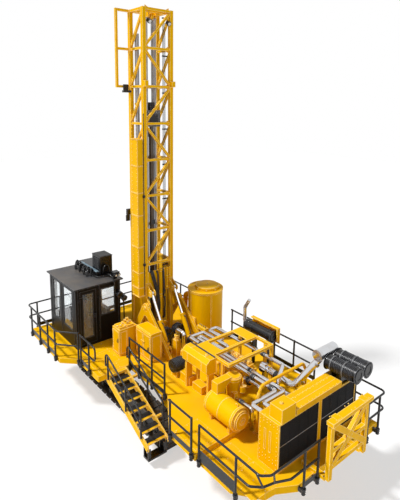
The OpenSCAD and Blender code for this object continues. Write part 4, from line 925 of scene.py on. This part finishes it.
def makeMastFittings(s):
    # Gussets in the corners of the rear face.
    x, gussets = s["x1"], []
    for z in [s["level"] + i * s["bay"] for i in range(s["bays"])]:
        for y, way in ((s["y0"] + 0.145, 1), (s["y1"] - 0.145, -1)):
            edges = sorted((y, y + way * 0.17))
            plate = deckBox((x - 0.095, edges[0], z - 0.13), (x - 0.085, edges[1], z + 0.13))
            pickFaces(plate, facing((0, way, 0)))
            bpy.ops.transform.resize(value=(1, 1, 0.35), center_override=at(x, y, z))
            bpy.ops.object.mode_set(mode="OBJECT")
            gussets.append(bevelAll(plate, 0.002))
    finishPiece(gussets, "mastGussets", "yellowPaint", "mast")
    # Flood lamps under the crown.
    lamps, lenses, way = [], [], (0.9, 0, -0.4)
    for y in (s["y0"] + 0.25, s["y1"] - 0.25):
        lamp = deckRod((x - 0.02, y, 12.28), (x + 0.10, y, 12.22), 0.085)
        lamps.append(stepped(lamp, way, ((0.010, 0.012), (0.012, -0.010)), least=0.8))
        lens = deckRod((x + 0.10, y, 12.22), (x + 0.115, y, 12.2125), 0.06)
        lenses.append(stepped(lens, way, ((0.02, 0.006),), least=0.8))
    finishPiece(lamps, "mastLampBodies", "blackPaint", "mast")
    finishPiece(lenses, "mastLampLenses", "lampGlass", "mast")


def makeHeadDetails():
    # Cooling rings on the two drive motors, bolts round the head box and a cover between them.
    places = [(x, 0.38, z) for x in (-3.06, -2.87) for z in spread(9.12, 9.32, 4)]
    bandRow(places, (0, 0, 0.03), 0.086, 0.008, "headMotorRings", "blackPaint", "head", 24)
    places = [(-2.78, y, z) for y in (0.14, 0.26, 0.50, 0.62) for z in (8.52, 9.0)]
    boltRow(places, plusX, "headBolts", "steel", "head", 0.02)
    cover = deckBox((-2.782, 0.20, 8.6), (-2.762, 0.56, 8.92))
    finishPiece(stepped(cover, plusX, ((0.03, 0.015),), 0.004), "headCover", "blackPaint", "head")


liftSettings = {"base": (-1.09, 0.20), "eye": (-2.18, 2.03), "y": {"near": -0.15, "far": 0.91},
                "radius": 0.095, "ports": (0.22, 0.92), "pivot": (-2.20, 1.5),
                "pivotY": (("Near", -0.48, minusY), ("Far", 1.24, plusY))}


def makeLiftDetails(s):
    (baseX, baseZ), (eyeX, eyeZ), (pivotX, pivotZ) = s["base"], s["eye"], s["pivot"]
    dx, dz = eyeX - baseX, eyeZ - baseZ
    long = math.hypot(dx, dz)
    dx, dz = dx / long, dz / long

    def on(y, t, out=0.0):
        # t along the cylinder, out away from it on its upper side.
        return baseX + dx * t + dz * out, y, baseZ + dz * t - dx * out

    for key, y in s["y"].items():
        body, end, first, last = "barrel_" + key, key.title(), *s["ports"]
        bands = [deckBand(on(y, a), on(y, b), s["radius"] + 0.004, lip)
                 for a, b, lip in ((0.97, 1.062, 0.010), (0.115, 0.17, 0.008))]
        finishPiece(bands, "liftGlands" + end, "yellowPaint", body)
        ports = [bevelAll(deckRod(on(y, t, 0.09), on(y, t, 0.135), 0.028, 6), 0.003) for t in s["ports"]]
        pipe = deckTube([on(y, t, out) for t, out in (
            (first, 0.13), (first, 0.155), (first + 0.05, 0.16), (0.55, 0.16), (last - 0.05, 0.16),
            (last, 0.155), (last, 0.13))], 0.013, 3)
        finishPiece(ports + [pipe], "liftPortLine" + end, "blackPaint", body)
        boltRow([(baseX, y - 0.095, baseZ)], minusY, "liftPinCap" + end, "blackPaint", body, 0.042)
        for name, side, way in (("Outer", y - 0.092, minusY), ("Inner", y + 0.092, plusY)):
            boltRow([(eyeX, side, eyeZ)], way, "liftEyeCap" + name + end, body="mast", size=0.075)
    for end, y, way in s["pivotY"]:
        boltRow([(pivotX, y, pivotZ)], way, "pivotCap" + end, body="mast", size=0.075)
    for end, y, way in s["pivotY"]:
        ring = ringOf((pivotX, y - 0.02 * way[1], pivotZ), 0.15, 8, 1)
        boltRow(ring, way, "pivotBolts" + end, size=0.014)


makeMastLines(mastSettings)
makeColumnFittings(mastSettings)
makeMastFittings(mastSettings)
makeHeadDetails()
makeLiftDetails(liftSettings)
print("stage: mast and lift cylinders")

# Cabinets, dust collector and reels

cabinetSettings = {
    "doors": (((-1.85, -1.082, 0.08), (-1.41, -1.07, 1.00), minusY),
              ((-1.38, -1.082, 0.08), (-0.94, -1.07, 1.00), minusY),
              ((-2.50, -1.722, 0.07), (-2.04, -1.71, 0.96), minusY),
              ((-0.90, -1.02, 0.08), (-0.888, -0.62, 1.00), plusX),
              ((-2.01, -1.67, 0.07), (-1.998, -1.39, 0.96), plusX)),
    "handles": ((-1.03, -1.082, 0.50), (-2.10, -1.722, 0.60)),
    "grip": ((0.01, -0.05), (0.05, -0.05), (0.05, 0.05), (0.01, 0.05)),
    "hinges": ((-1.855, -1.082), (-0.935, -1.082), (-2.505, -1.722)), "hingeZ": (0.2, 0.88),
    "dials": (-2.56, -2.42, -2.28),
    "valves": ((-2.60, -1.02, 1.05, 0.10), (-2.50, -1.16, 1.05, 0.13), (-2.38, -1.04, 1.05, 0.09),
               (-2.28, -1.18, 1.05, 0.12), (-2.30, -1.42, 1.10, 0.05), (-2.18, -1.56, 1.10, 0.07),
               (-2.10, -1.42, 1.10, 0.06), (-2.24, -1.66, 1.10, 0.04)),
    "arches": ((-2.60, -2.38, -1.10), (-2.50, -2.28, -1.24))}


def makeCabinetDoors(s):
    # Doors with a raised rim, standing a little proud of the boxes.
    doors = [stepped(deckBox(low, high), way, ((0.03, -0.004),), 0.003) for low, high, way in s["doors"]]
    finishPiece(doors, "cabinetDoors")
    handles = []
    for x, y, z in s["handles"]:
        handles.append(deckBox((x - 0.02, y - 0.012, z - 0.08), (x + 0.02, y, z + 0.08), 0.004))
        handles.append(deckTube([(x, y - out, z + rise) for out, rise in s["grip"]], 0.009, 3))
    finishPiece(handles, "cabinetHandles", "blackPaint")
    hinges = [deckRod((x, y, z - 0.05), (x, y, z + 0.05), 0.012, 10)
              for x, y in s["hinges"] for z in s["hingeZ"]]
    finishPiece(bevelAll(joinAll(hinges), 0.003), "cabinetHinges")
    # Gauges under the small hood, and valves with their levers along the top.
    gauges = [deckCap((x, -1.33, 0.82), minusY, 0.015, 0.042, ((0.008, -0.006),), sides=20)
              for x in s["dials"]]
    finishPiece(gauges, "cabinetGauges", "blackPaint")
    valves = [deckCap((x, y, z), up, h * 0.5, 0.045, ((0.012, h * 0.3), (0.010, h * 0.2)), 0.003, 6)
              for x, y, z, h in s["valves"]]
    for x0, x1, y in s["arches"]:
        arch = ((x0, 1.05), (x0, 1.14), (x0 + 0.04, 1.17), (x1 - 0.04, 1.17), (x1, 1.14), (x1, 1.05))
        valves.append(deckTube([(x, y, z) for x, z in arch], 0.016, 4))
    finishPiece(valves, "cabinetValveTops")


dustSettings = {"x": -1.45, "y": 1.95, "radius": 0.70, "top": 2.0, "lid": (0.05, 0.06, 0.48), "clamps": 8,
                "seams": (-95, -20, 60, 140, 215), "duct": (-0.90, -0.33)}


def makeDustCollector(s):
    # The lid stands off centre on the drum, with clamps round it and a lifting knob.
    x, y, top, radius = s["x"], s["y"], s["top"], s["radius"]
    lx, ly, wide = x + s["lid"][0], y + s["lid"][1], s["lid"][2]
    lid = deckCap((lx, ly, top), up, 0.11, wide, ((0.03, 0.02),), sides=64)
    knob = deckCap((lx, ly, top + 0.13), up, 0.03, 0.03, ((0.008, 0.02),), sides=20)
    finishPiece(bevelAll(joinAll([lid, knob]), 0.010, 2), "dustLid")
    clamps = [((cx - 0.02, cy - 0.02, z), (cx + 0.02, cy + 0.02, z + 0.07))
              for cx, cy, z in ringOf((lx, ly, top), wide + 0.014, s["clamps"], 2)]
    boxRow(clamps, 0.008, "dustLidClamps")
    bandRow([(x, y, z) for z in (0.02, 1.90)], (0, 0, 0.05), radius + 0.006, 0.010, "dustBands", sides=64)
    seam = bevelAll(startBox((radius - 0.004, -0.03, 0.05), (radius + 0.014, 0.03, top - 0.10)), 0.005)
    seams = copiesOf(seam, [(at(x, y, 0), (math.radians(a), "Z")) for a in s["seams"]])
    finishPiece(seams, "dustSeams")
    hatch = deckBox((x - 0.24, y - 0.722, 0.35), (x + 0.24, y - 0.66, 0.95))
    finishPiece(stepped(hatch, minusY, ((0.04, 0.012),), 0.008, segments=2), "dustHatch")
    dx, dy = x + s["duct"][0], y + s["duct"][1]
    duct = deckTube([(x - 0.60, y - 0.25, 1.55), (x - 0.86, y - 0.32, 1.55), (dx, dy, 1.35), (dx, dy, 0.5),
                     (dx, dy, 0.0)], 0.10, 8)
    finishPiece(duct, "dustDuct")
    bandRow([(dx, dy, z) for z in (0.05, 0.65, 1.2)], (0, 0, 0.05), 0.106, 0.010, "dustDuctBands")


reelSettings = {"x": -1.60, "z": 0.47, "y": (0.12, 0.69), "coil": 0.021, "ring": 0.212, "outer": 1.16,
                "spokes": 6}


def makeReels(s):
    # Hose wound in two layers, and spoke plates with a hub on each flange.
    x, z, turns = s["x"], s["z"], []
    for y in s["y"]:
        for count, first, grow in ((5, -0.084, 1), (4, -0.063, s["outer"])):
            clearSelection()
            bpy.ops.mesh.primitive_torus_add(
                major_radius=s["ring"], minor_radius=s["coil"], major_segments=40, minor_segments=8,
                rotation=(0, math.pi / 2, 0))
            turn = applyPlace()
            turn.data.transform(Matrix.Diagonal((1, grow, grow, 1)))
            turns += copiesOf(turn, [(at(x + first + 0.042 * k, y, z), None) for k in range(count)])
    finishPiece(turns, "reelHose", "rubber")
    parts = []
    for y in s["y"]:
        for side, shift in ((-1, -0.282), (1, 0)):
            parts.append(deckCap((x + side * 0.135, y, z), (side, 0, 0), 0.023, 0.085, ((0.02, 0.012),)))
            spoke = bevelAll(startBox((0.135, -0.014, 0.08), (0.147, 0.014, 0.245)), 0.003)
            parts += copiesOf(spoke, [(at(x + shift, y, z), (math.tau * k / s["spokes"], "X"))
                                      for k in range(s["spokes"])])
    finishPiece(parts, "reelSpokes", "blackPaint")


makeCabinetDoors(cabinetSettings)
makeDustCollector(dustSettings)
makeReels(reelSettings)
print("stage: cabinets, dust collector and reels")

# Power pack

# Each coupling: where it starts, the axis it runs along, its length and its radius.
pipeSettings = {
    "couplings": (
        ((4.44, -0.92, 1.0), plusX, 0.18, 0.066), ((4.44, -0.62, 1.0), plusX, 0.18, 0.066),
        ((3.02, 0.08, 1.0), plusX, 0.18, 0.066), ((2.72, 0.26, 1.0), plusX, 0.18, 0.066),
        ((3.95, 0.08, 1.0), minusX, 0.18, 0.066), ((2.46, 1.15, 1.12), plusX, 0.18, 0.066),
        ((4.42, 0.48, 0.78), plusX, 0.18, 0.066), ((2.62, 0.29, 0.60), plusX, 0.18, 0.061),
        ((3.20, -0.56, 0.50), plusX, 0.18, 0.061), ((1.45, 0.43, 0.87), up, 0.06, 0.066),
        ((0.83, 0.82, 0.87), up, 0.11, 0.066), ((0.60, 0.26, 1.0), plusX, 0.14, 0.066),
        ((0.48, 0.08, 1.0), plusX, 0.14, 0.066), ((0.86, 1.15, 1.12), plusX, 0.14, 0.066)),
    "flanges": (((-0.815, 0.05, 0.76), 0.04, 0.10), ((-0.42, 0.07, 0.30), 0.05, 0.10),
                ((1.30, 0.70, 0.83), 0.03, 0.09))}


def makeCouplings(s):
    # Rubber sleeves held by two bands each.
    sleeves, bands = [], []
    for a, way, length, radius in s["couplings"]:
        a, b = at(*a), at(*[p + q * length for p, q in zip(a, way)])
        sleeves.append(bandOn(a, b, radius + 0.006, 0.008))
        bands += [bandOn(a.lerp(b, t), a.lerp(b, t + 0.10), radius + 0.010, 0.006) for t in (0.12, 0.78)]
    finishPiece(sleeves, "pipeSleeves", "rubber")
    finishPiece(bands, "pipeSleeveBands", "steel")
    plates = [deckBand((x, y, z), (x, y, z + thick), radius, 0.004)
              for (x, y, z), thick, radius in s["flanges"]]
    finishPiece(plates, "pipeFlanges")


engineSettings = {"x": 0.72, "y": 0.55, "z": 0.48, "pitch": 0.27, "count": 6, "banks": (0.21, 0.70),
                  "top": 0.83, "filters": (1.80, 1.98, 2.16), "flywheelX": 2.54}


def makeEngineDetails(s):
    # A ribbed cover on each cylinder head, kept clear of the pipes that come down on the banks.
    cover = stepped(startBox((0.02, 0.03, 0), (0.20, 0.16, 0.035)), up, ((0.018, 0.018),), 0.006, segments=2)
    ribs = [bevelAll(startBox((x - 0.004, 0.045, 0.05), (x + 0.004, 0.145, 0.062)), 0.002)
            for x in (0.07, 0.11, 0.15)]
    bolts = [hexBolt((x, y, 0.0), up, 0.011, 0.014) for x in (0.01, 0.21) for y in (0.03, 0.16)]
    places = [(s["x"] + k * s["pitch"], y, s["top"]) for k in range(s["count"]) for y in s["banks"]]
    scatter(joinAll([cover] + ribs + bolts), places, "valveCovers", "yellowPaint")
    # Fuel rail with a short line to each cylinder.
    lines = []
    for y, way in ((0.455, -1), (0.645, 1)):
        lines.append(deckTube([(x, y, 0.80) for x in (0.78, 1.2, 1.8, 2.28)], 0.014, 3))
        for x in [s["x"] + 0.11 + k * s["pitch"] for k in range(s["count"])]:
            drop = ((0, 0.80), (0, 0.87), (0.03, 0.89), (0.07, 0.88), (0.08, 0.84))
            lines.append(deckTube([(x, y + way * out, z) for out, z in drop], 0.007, 2))
    finishPiece(lines, "fuelLines", "steel")
    # Filters on the near side of the block, ribs on both sides, and the flywheel's bolts and cover.
    filters = [stepped(deckRod((x, 0.07, 0.20), (x, 0.07, 0.50), 0.07), down, ((0.015, 0.012),), 0.006)
               for x in s["filters"]]
    finishPiece(filters, "oilFilters")
    ribs = [((x - 0.012, y, 0.22), (x + 0.012, y + 0.012, 0.60))
            for y, last, count in ((0.138, 1.65, 7), (0.95, 2.3, 11)) for x in spread(0.75, last, count)]
    boxRow(ribs, 0.004, "blockRibs")
    x, y, z = s["flywheelX"], s["y"], s["z"]
    boltRow(ringOf((x, y, z), 0.29, 16, 0), plusX, "flywheelBolts", size=0.014)
    cover = deckCap((x, y, z), plusX, 0.06, 0.20, ((0.04, 0.03), (0.06, -0.02)), 0.006, 40)
    finishPiece(cover, "flywheelCover", "blackPaint")


compressorSettings = {"y": 0.55, "z": 0.48, "boltX": 0.48, "bands": (-0.53, -0.40, -0.27), "endX": -0.55,
                      "stems": (-0.52, -0.41, -0.30, -0.19), "pump": (-0.815, 0.05)}


def makeCompressorDetails(s):
    y, z = s["y"], s["z"]
    ribs = [((x - 0.010, 0.22, 0.70), (x + 0.010, 0.88, 0.722)) for x in spread(-0.10, 0.31, 6)]
    boxRow(ribs, 0.004, "compressorRibs")
    boltRow(ringOf((s["boltX"], y, z), 0.25, 12, 0), plusX, "compressorBolts", size=0.014)
    places = [(x, y, z) for x in s["bands"]]
    bandRow(places, (0.04, 0, 0), 0.254, 0.008, "motorBands", "blackPaint", sides=48)
    end = deckCap((s["endX"], y, z), minusX, 0.02, 0.21, ((0.05, 0.02), (0.08, 0.03)), 0.004, 40)
    finishPiece(end, "motorEnd", "blackPaint")
    # Valve stems on the block beside the far bank.
    stems = [deckCap((x, 0.92, 1.03), up, 0.04, 0.026, ((0.008, 0.03),), sides=6) for x in s["stems"]]
    finishPiece(stems, "valveStems", "steel")
    bandRow([(*s["pump"], z) for z in (0.63, 0.70)], (0, 0, 0.03), 0.094, 0.008, "pumpBands")


tankSettings = {"top": 1.45, "cap": (1.85, -0.75), "straps": (1.15, 1.86), "starter": (0.27, 0.40)}


def makeTankDetails(s):
    top, (x, y) = s["top"], s["cap"]
    finishPiece(deckBox((0.92, -0.66, top), (2.13, -0.607, top + 0.025), 0.005), "tankSealStrip", "rubber")
    # Filler cap and straps.
    finishPiece(deckCap((x, y, top), up, 0.025, 0.05, ((0.01, 0.018),), 0.003, 20), "tankCap")
    straps = [((x, y0, z0), (x + 0.05, y1, z1)) for x in s["straps"]
              for y0, y1, z0, z1 in ((-1.006, -1.0, 1.02, 1.32), (-0.85, -0.65, top, top + 0.006))]
    boxRow(straps, 0.003, "tankStraps")
    x, z = s["starter"]
    boltRow(ringOf((x, -0.962, z), 0.18, 8, 1), minusY, "starterBolts", "blackPaint", size=0.014)
    places = [(x, y, z) for y in spread(-0.58, -0.90, 7)]
    bandRow(places, (0, -0.025, 0), 0.223, 0.008, "starterFins", "blackPaint", sides=40)
    cap = deckCap((x, -0.96, z), minusY, 0.015, 0.14, ((0.05, -0.01),), 0.003, 32)
    finishPiece(cap, "starterCap", "blackPaint")


receiverSettings = {"y": -1.12, "z": 0.47, "bands": (2.66, 3.18, 3.71), "endX": 3.86,
                    "separator": (2.79, -0.45, 1.09), "wheel": (3.17, -0.34), "lugs": (2.80, 3.60)}


def makeReceiverDetails(s):
    y, z, x = s["y"], s["z"], s["endX"]
    bandRow([(bandX, y, z) for bandX in s["bands"]], (0.03, 0, 0), 0.357, 0.006, "receiverBands", sides=64)
    boltRow(ringOf(s["separator"], 0.225, 12, 2), up, "separatorBolts", size=0.015)
    # The stepped end, and a relief valve with its hand wheel.
    plug = deckCap((x, y, z), plusX, 0.015, 0.20, ((0.05, 0.01), (0.10, 0.02)), 0.004, 40)
    finishPiece(plug, "receiverEnd")
    x, y = s["wheel"]
    wheel = openThrough(deckRod((x, y, 0.88), (x, y, 0.895), 0.06), up, 0.012)
    stem = deckCap((x - 0.09, y, 0.86), up, 0.04, 0.03, ((0.01, 0.06),), sides=6)
    spokes = [deckBox((x - long, y - wide, 0.882), (x + long, y + wide, 0.893), 0.002)
              for long, wide in ((0.05, 0.005), (0.005, 0.05))]
    finishPiece([wheel, stem] + spokes, "reliefValve")
    lugs = [((x, -1.135, 0.81), (x + 0.09, -1.105, 0.90)) for x in s["lugs"]]
    boxRow(lugs, 0.012, "receiverLugs", segments=2)


mufflerSettings = {"y": 1.90, "z": 1.38, "radius": 0.19, "bands": (1.08, 1.38, 2.08), "endX": 2.28}


def makeMufflerDetails(s):
    y, z, radius, x = s["y"], s["z"], s["radius"], s["endX"]
    places = [(bandX, y, z) for bandX in s["bands"]]
    bandRow(places, (0.05, 0, 0), radius + 0.006, 0.010, "mufflerBands", "blackPaint", sides=48)
    end = deckCap((x, y, z), plusX, 0.015, radius - 0.015, ((0.03, 0.010), (0.08, -0.012)), 0.003, 48)
    finishPiece(end, "mufflerEnd", "blackPaint")
    ribs = [((x - 0.015, 2.14, 1.14), (x + 0.015, 2.148, 1.62)) for x in spread(1.2, 2.3, 6)]
    boxRow(ribs, 0.003, "shieldRibs")
    finishPiece(deckBand((1.03, y, z + 0.006), (1.0, y, z + 0.009), 0.085, 0.008), "stackRing", "chrome")


intakeSettings = {"radius": 0.112, "sleeve": ((3.30, 0.904, 0.84), (3.44, 0.895, 0.84)),
                  "bands": (((4.18, 1.02, 0.98), (4.215, 1.08, 1.05)),
                            ((4.40, 1.42, 1.50), (4.43, 1.475, 1.58))),
                  "ends": ((1.38, minusY), (2.22, plusY))}


def makeIntakeDetails(s):
    bands = [deckBand(a, b, s["radius"] + 0.006, 0.008, 40) for a, b in s["bands"]]
    finishPiece(bands, "intakeBands", "steel")
    a, b = [at(*place) for place in s["sleeve"]]
    sleeve = [bandOn(a.lerp(b, t), a.lerp(b, t + 0.22), s["radius"] + 0.010, 0.010, 40)
              for t in (0, 0.26, 0.52, 0.78)]
    finishPiece(sleeve, "intakeSleeve", "rubber")
    ends = [deckCap((4.5, y, 1.86), way, 0.012, 0.165, ((0.03, 0.012),), sides=48) for y, way in s["ends"]]
    finishPiece(ends, "manifoldEnds", "chrome")


cleanerSettings = {"x0": 4.72, "x1": 5.72, "y": (1.68, 2.175), "z": 1.68, "radius": 0.225}


def makeCleanerDetails(s):
    # Ribbed cans with a stepped lid at each end, clamp bands and latches.
    x0, x1, z, radius = s["x0"], s["x1"], s["z"], s["radius"]
    starts = spread(x0 + 0.24, x0 + 0.52, 6) + spread(x0 + 0.66, x1 - 0.10, 6)
    for xs, wide, grow, lip, name, finish in (
            (starts, 0.022, 0.002, 0.008, "cleanerRibs", "blackPaint"),
            ((x0 + 0.16, x0 + 0.57), 0.035, 0.014, 0.006, "cleanerBands", "greyPaint")):
        places = [(x, y, z) for y in s["y"] for x in xs]
        bandRow(places, (wide, 0, 0), radius + grow, lip, name, finish, sides=40)
    lids = [deckCap((x, y, z), way, 0.02, radius - 0.012, ((0.02, 0.015), (0.06, -0.012)), sides=40)
            for y in s["y"] for x, way in ((x0, minusX), (x1, plusX))]
    finishPiece(lids, "cleanerLids", "blackPaint")
    latches = []
    for y in s["y"]:
        for a in [math.radians(45 + 90 * k) for k in range(4)]:
            cy, cz = y + (radius + 0.008) * math.cos(a), z + (radius + 0.008) * math.sin(a)
            latches.append(((x1 - 0.16, cy - 0.014, cz - 0.014), (x1 - 0.06, cy + 0.014, cz + 0.014)))
    boxRow(latches, 0.004, "cleanerLatches", "greyPaint")


makeCouplings(pipeSettings)
makeEngineDetails(engineSettings)
makeCompressorDetails(compressorSettings)
makeTankDetails(tankSettings)
makeReceiverDetails(receiverSettings)
makeMufflerDetails(mufflerSettings)
makeIntakeDetails(intakeSettings)
makeCleanerDetails(cleanerSettings)
print("stage: power pack")

# Cooler, rest and crawlers

coolerSettings = {"x1": 5.34, "y0": -1.25, "y1": 2.20, "z1": 1.26, "cores": ((-1.21, 0.405), (0.545, 2.17)),
                  "coreX": 5.32, "coreZ": (-0.10, 1.22), "mid": 0.60, "slats": 30, "rims": (4.69, 5.27),
                  "slots": (4.86, 5.04), "hood": 1.40}


def makeCoolerCores(s):
    x, mid, slats, lines = s["coreX"], s["mid"], [], []
    low, high = s["coreZ"]
    for y0, y1 in s["cores"]:
        slat = bevelAll(startBox((x, y0 + 0.015, -0.005), (x + 0.008, y1 - 0.015, 0.005)), 0.002)
        slats += copiesOf(slat, [(at(0, 0, z), None) for z in spread(low + 0.03, high - 0.03, s["slats"])])
        slats += [deckBox((x + 0.006, y - 0.008, low + 0.01), (x + 0.013, y + 0.008, high - 0.01), 0.002)
                  for y in spread(y0 + 0.02, y1 - 0.02, 5)]
        ends = (x + 0.008, y0 + 0.004, mid - 0.010), (s["x1"] - 0.002, y1 - 0.004, mid + 0.010)
        lines.append(deckBox(*ends, 0.003))
    finishPiece(slats, "coreSlats", "coreBlack")
    finishPiece(lines, "coreMidBars", "steel")


def makeCoolerPanels(s):
    # Rivets on both sides and along the top, two pressed slots, a seam, a cap and lifting lugs.
    y, hood = s["y0"], s["hood"]
    near = [(x, y, z) for x in spread(4.69, 5.28, 6) for z in (1.20, 1.12)]
    near += [(x, y, z) for x in s["rims"] for z in spread(-0.05, 1.0, 9)]
    near += [(x, y, z) for x in spread(4.80, 5.16, 4) for z in (0.16, 0.06)]
    far = [(x, s["y1"], z) for x in s["rims"] for z in spread(-0.05, 1.2, 9)]
    top = [(x, yy, s["z1"]) for x in (4.66, 4.80) for yy in spread(-1.2, 2.15, 16)]
    top += [(x, yy, hood) for x in (4.97, 5.30) for yy in spread(-0.50, 1.42, 13)]
    for name, way, places in (("Near", minusY, near), ("Far", plusY, far), ("Top", up, top)):
        boltRow(places, way, "coolerRivets" + name, size=0.012)
    slots = [openThrough(deckBox((x - 0.035, y - 0.008, 0.30), (x + 0.035, y + 0.002, 0.92)), plusY, 0.012)
             for x in s["slots"]]
    finishPiece([bevelAll(slot, 0.003) for slot in slots], "coolerSlots")
    finishPiece(deckBox((5.125, -0.56, hood), (5.140, 1.47, hood + 0.006), 0.002), "coolerTopSeam")
    finishPiece(deckCap((5.12, -0.95, 1.64), up, 0.025, 0.05, ((0.01, 0.02),), 0.003), "headerCap")
    lugs = [((4.72, yy - 0.015, s["z1"]), (4.81, yy + 0.015, s["z1"] + 0.09)) for yy in (-0.9, 1.9)]
    boxRow(lugs, 0.012, "coolerLugs", segments=2)


fanSettings = {"y": (-0.42, 1.52), "z": 0.41, "bladeX": 4.66, "guardX": 4.50, "blades": 8, "pitch": 48,
               "twist": 60, "rings": (0.12, 0.22, 0.32, 0.42, 0.50)}


def makeFans(s):
    # Twisted blades on a stepped hub behind a ring guard, modelled once for both shrouds.
    blade = subdivideAll(startBox((-0.006, 0.09, -0.08), (0.006, 0.42, 0.08)), 3)
    for corner in blade.data.vertices:
        angle = math.radians(s["pitch"] - s["twist"] * (corner.co.y - 0.09))
        corner.co = Matrix.Rotation(angle, 3, "Y") @ corner.co
    parts = copiesOf(blade, [((0, 0, 0), (math.tau * k / s["blades"], "X")) for k in range(s["blades"])])
    parts.append(stepped(startCylinder((-0.05, 0, 0), (0.06, 0, 0), 0.12, 32), minusX, ((0.04, 0.03),)))
    scatter(joinAll(parts), [(s["bladeX"], y, s["z"]) for y in s["y"]], "fanBlades", "blackPaint")
    wires = [openThrough(startCylinder((-0.008, 0, 0), (0.008, 0, 0), radius, 40), plusX, 0.010)
             for radius in s["rings"]]
    bar = startBox((-0.014, -0.008, -0.505), (-0.006, 0.008, 0.505))
    wires += copiesOf(bar, [((0, 0, 0), (math.pi * k / 4, "X")) for k in (1, 2, 3, 0)])
    guard = bevelAll(joinAll(wires), 0.002)
    scatter(guard, [(s["guardX"], y, s["z"]) for y in s["y"]], "fanGuards", "blackPaint")


restSettings = {"top": 1.60, "pads": (-0.225, 0.985), "bolts": (-0.36, 0.30, 0.46, 1.12),
                "sill": (-0.45, -0.37, 1.13, 1.21), "brace": (6.3665, 0.38, 0.87), "braceTurn": 37.7}


def makeRestDetails(s):
    top, (x, y, z) = s["top"], s["brace"]
    pads = [((6.20, padY - 0.10, top), (6.42, padY + 0.10, top + 0.004)) for padY in s["pads"]]
    boxRow(pads, 0.0015, "restPads")
    places = [(boltX, boltY, top) for boltY in s["bolts"] for boltX in (6.20, 6.40)]
    boltRow(places, up, "restBolts", size=0.016)
    boltRow([(5.52, boltY, -0.04) for boltY in s["sill"]], up, "restSillBolts", size=0.018)
    # Wide flat bars over the crossed braces of the rest's outer face.
    bar = bevelAll(startBox((-0.006, -0.92, -0.085), (0.006, 0.92, 0.085)), 0.002)
    crossed = copiesOf(bar, [(at(x + lift, y, z), (math.radians(turn), "X"))
                             for turn, lift in ((s["braceTurn"], 0), (-s["braceTurn"], 0.003))])
    finishPiece(crossed, "restBraces")


crawlerSettings = {"x": -2.20, "half": 3.025, "y": 1.53, "z": -1.525, "hub": 0.13, "rollers": 9,
                   "rollerDrop": 0.28}


def makeCrawlerDetails(s):
    # Hub covers with bolts on the sprockets and idlers, and end caps on the rollers.
    cover = startCylinder((0, 0, 0), (0, -0.03, 0), s["hub"] - 0.01, 32)
    stepped(cover, minusY, ((0.03, 0.03), (0.03, -0.01)), 0.005)
    bolts = [hexBolt(place, minusY, 0.013, 0.016) for place in ringOf((0, -0.03, 0), 0.095, 10, 1)]
    cap = stepped(startCylinder((0, 0, 0), (0, -0.02, 0), 0.07), minusY, ((0.02, 0.012),), 0.004)
    ends, rollers = (-s["half"], s["half"]), spread(-s["half"] + 0.52, s["half"] - 0.52, s["rollers"])
    sides = [(side, face, (0 if face < 0 else math.pi, "Z")) for side in (-1, 1) for face in (-1, 1)]
    hubMoves = [(at(s["x"] + x, side * s["y"] + face * 0.21, s["z"]), turn)
                for side, face, turn in sides for x in ends]
    capMoves = [(at(s["x"] + x, side * s["y"] + face * 0.19, s["z"] - s["rollerDrop"]), turn)
                for side, face, turn in sides for x in rollers]
    finishPiece(copiesOf(joinAll([cover] + bolts), hubMoves), "hubCovers", "trackIron")
    finishPiece(copiesOf(cap, capMoves), "rollerCaps", "trackIron")


makeCoolerCores(coolerSettings)
makeCoolerPanels(coolerSettings)
makeFans(fanSettings)
makeRestDetails(restSettings)
makeCrawlerDetails(crawlerSettings)
print("stage: cooler, rest and crawlers")

paintFaces("exhaust_muffler", "yellowPaint", lambda c, n: c.y > 1.985)
paintFaces("exhaust_muffler", "chrome", lambda c, n: c.x < 1.01 or c.z > 1.60 and c.x < 1.2 and c.y < 1.985)
paintFaces("compressor", "blackPaint",
           lambda c, n: -0.56 < c.x < -0.149 and 0.2 < c.z < 0.74 and 0.28 < c.y < 0.82)
paintFaces("stairs", "blackPaint", lambda c, n: c.z < -1.30)
paintFaces("hydraulic_tank", "blackPaint", lambda c, n: 0.04 < c.x < 0.5 and c.z > 0.201)
paintFaces("rotary_head", "blackPaint", lambda c, n: c.z > 9.07)
# Painted sheen: the cab's upward roof faces get the lighter grey finish.
paintFaces("cab_shell", "cabRoofPaintedSheen", lambda c, n: n.z > 0.9 and c.z > 2.3)
print("stage: second finishes")
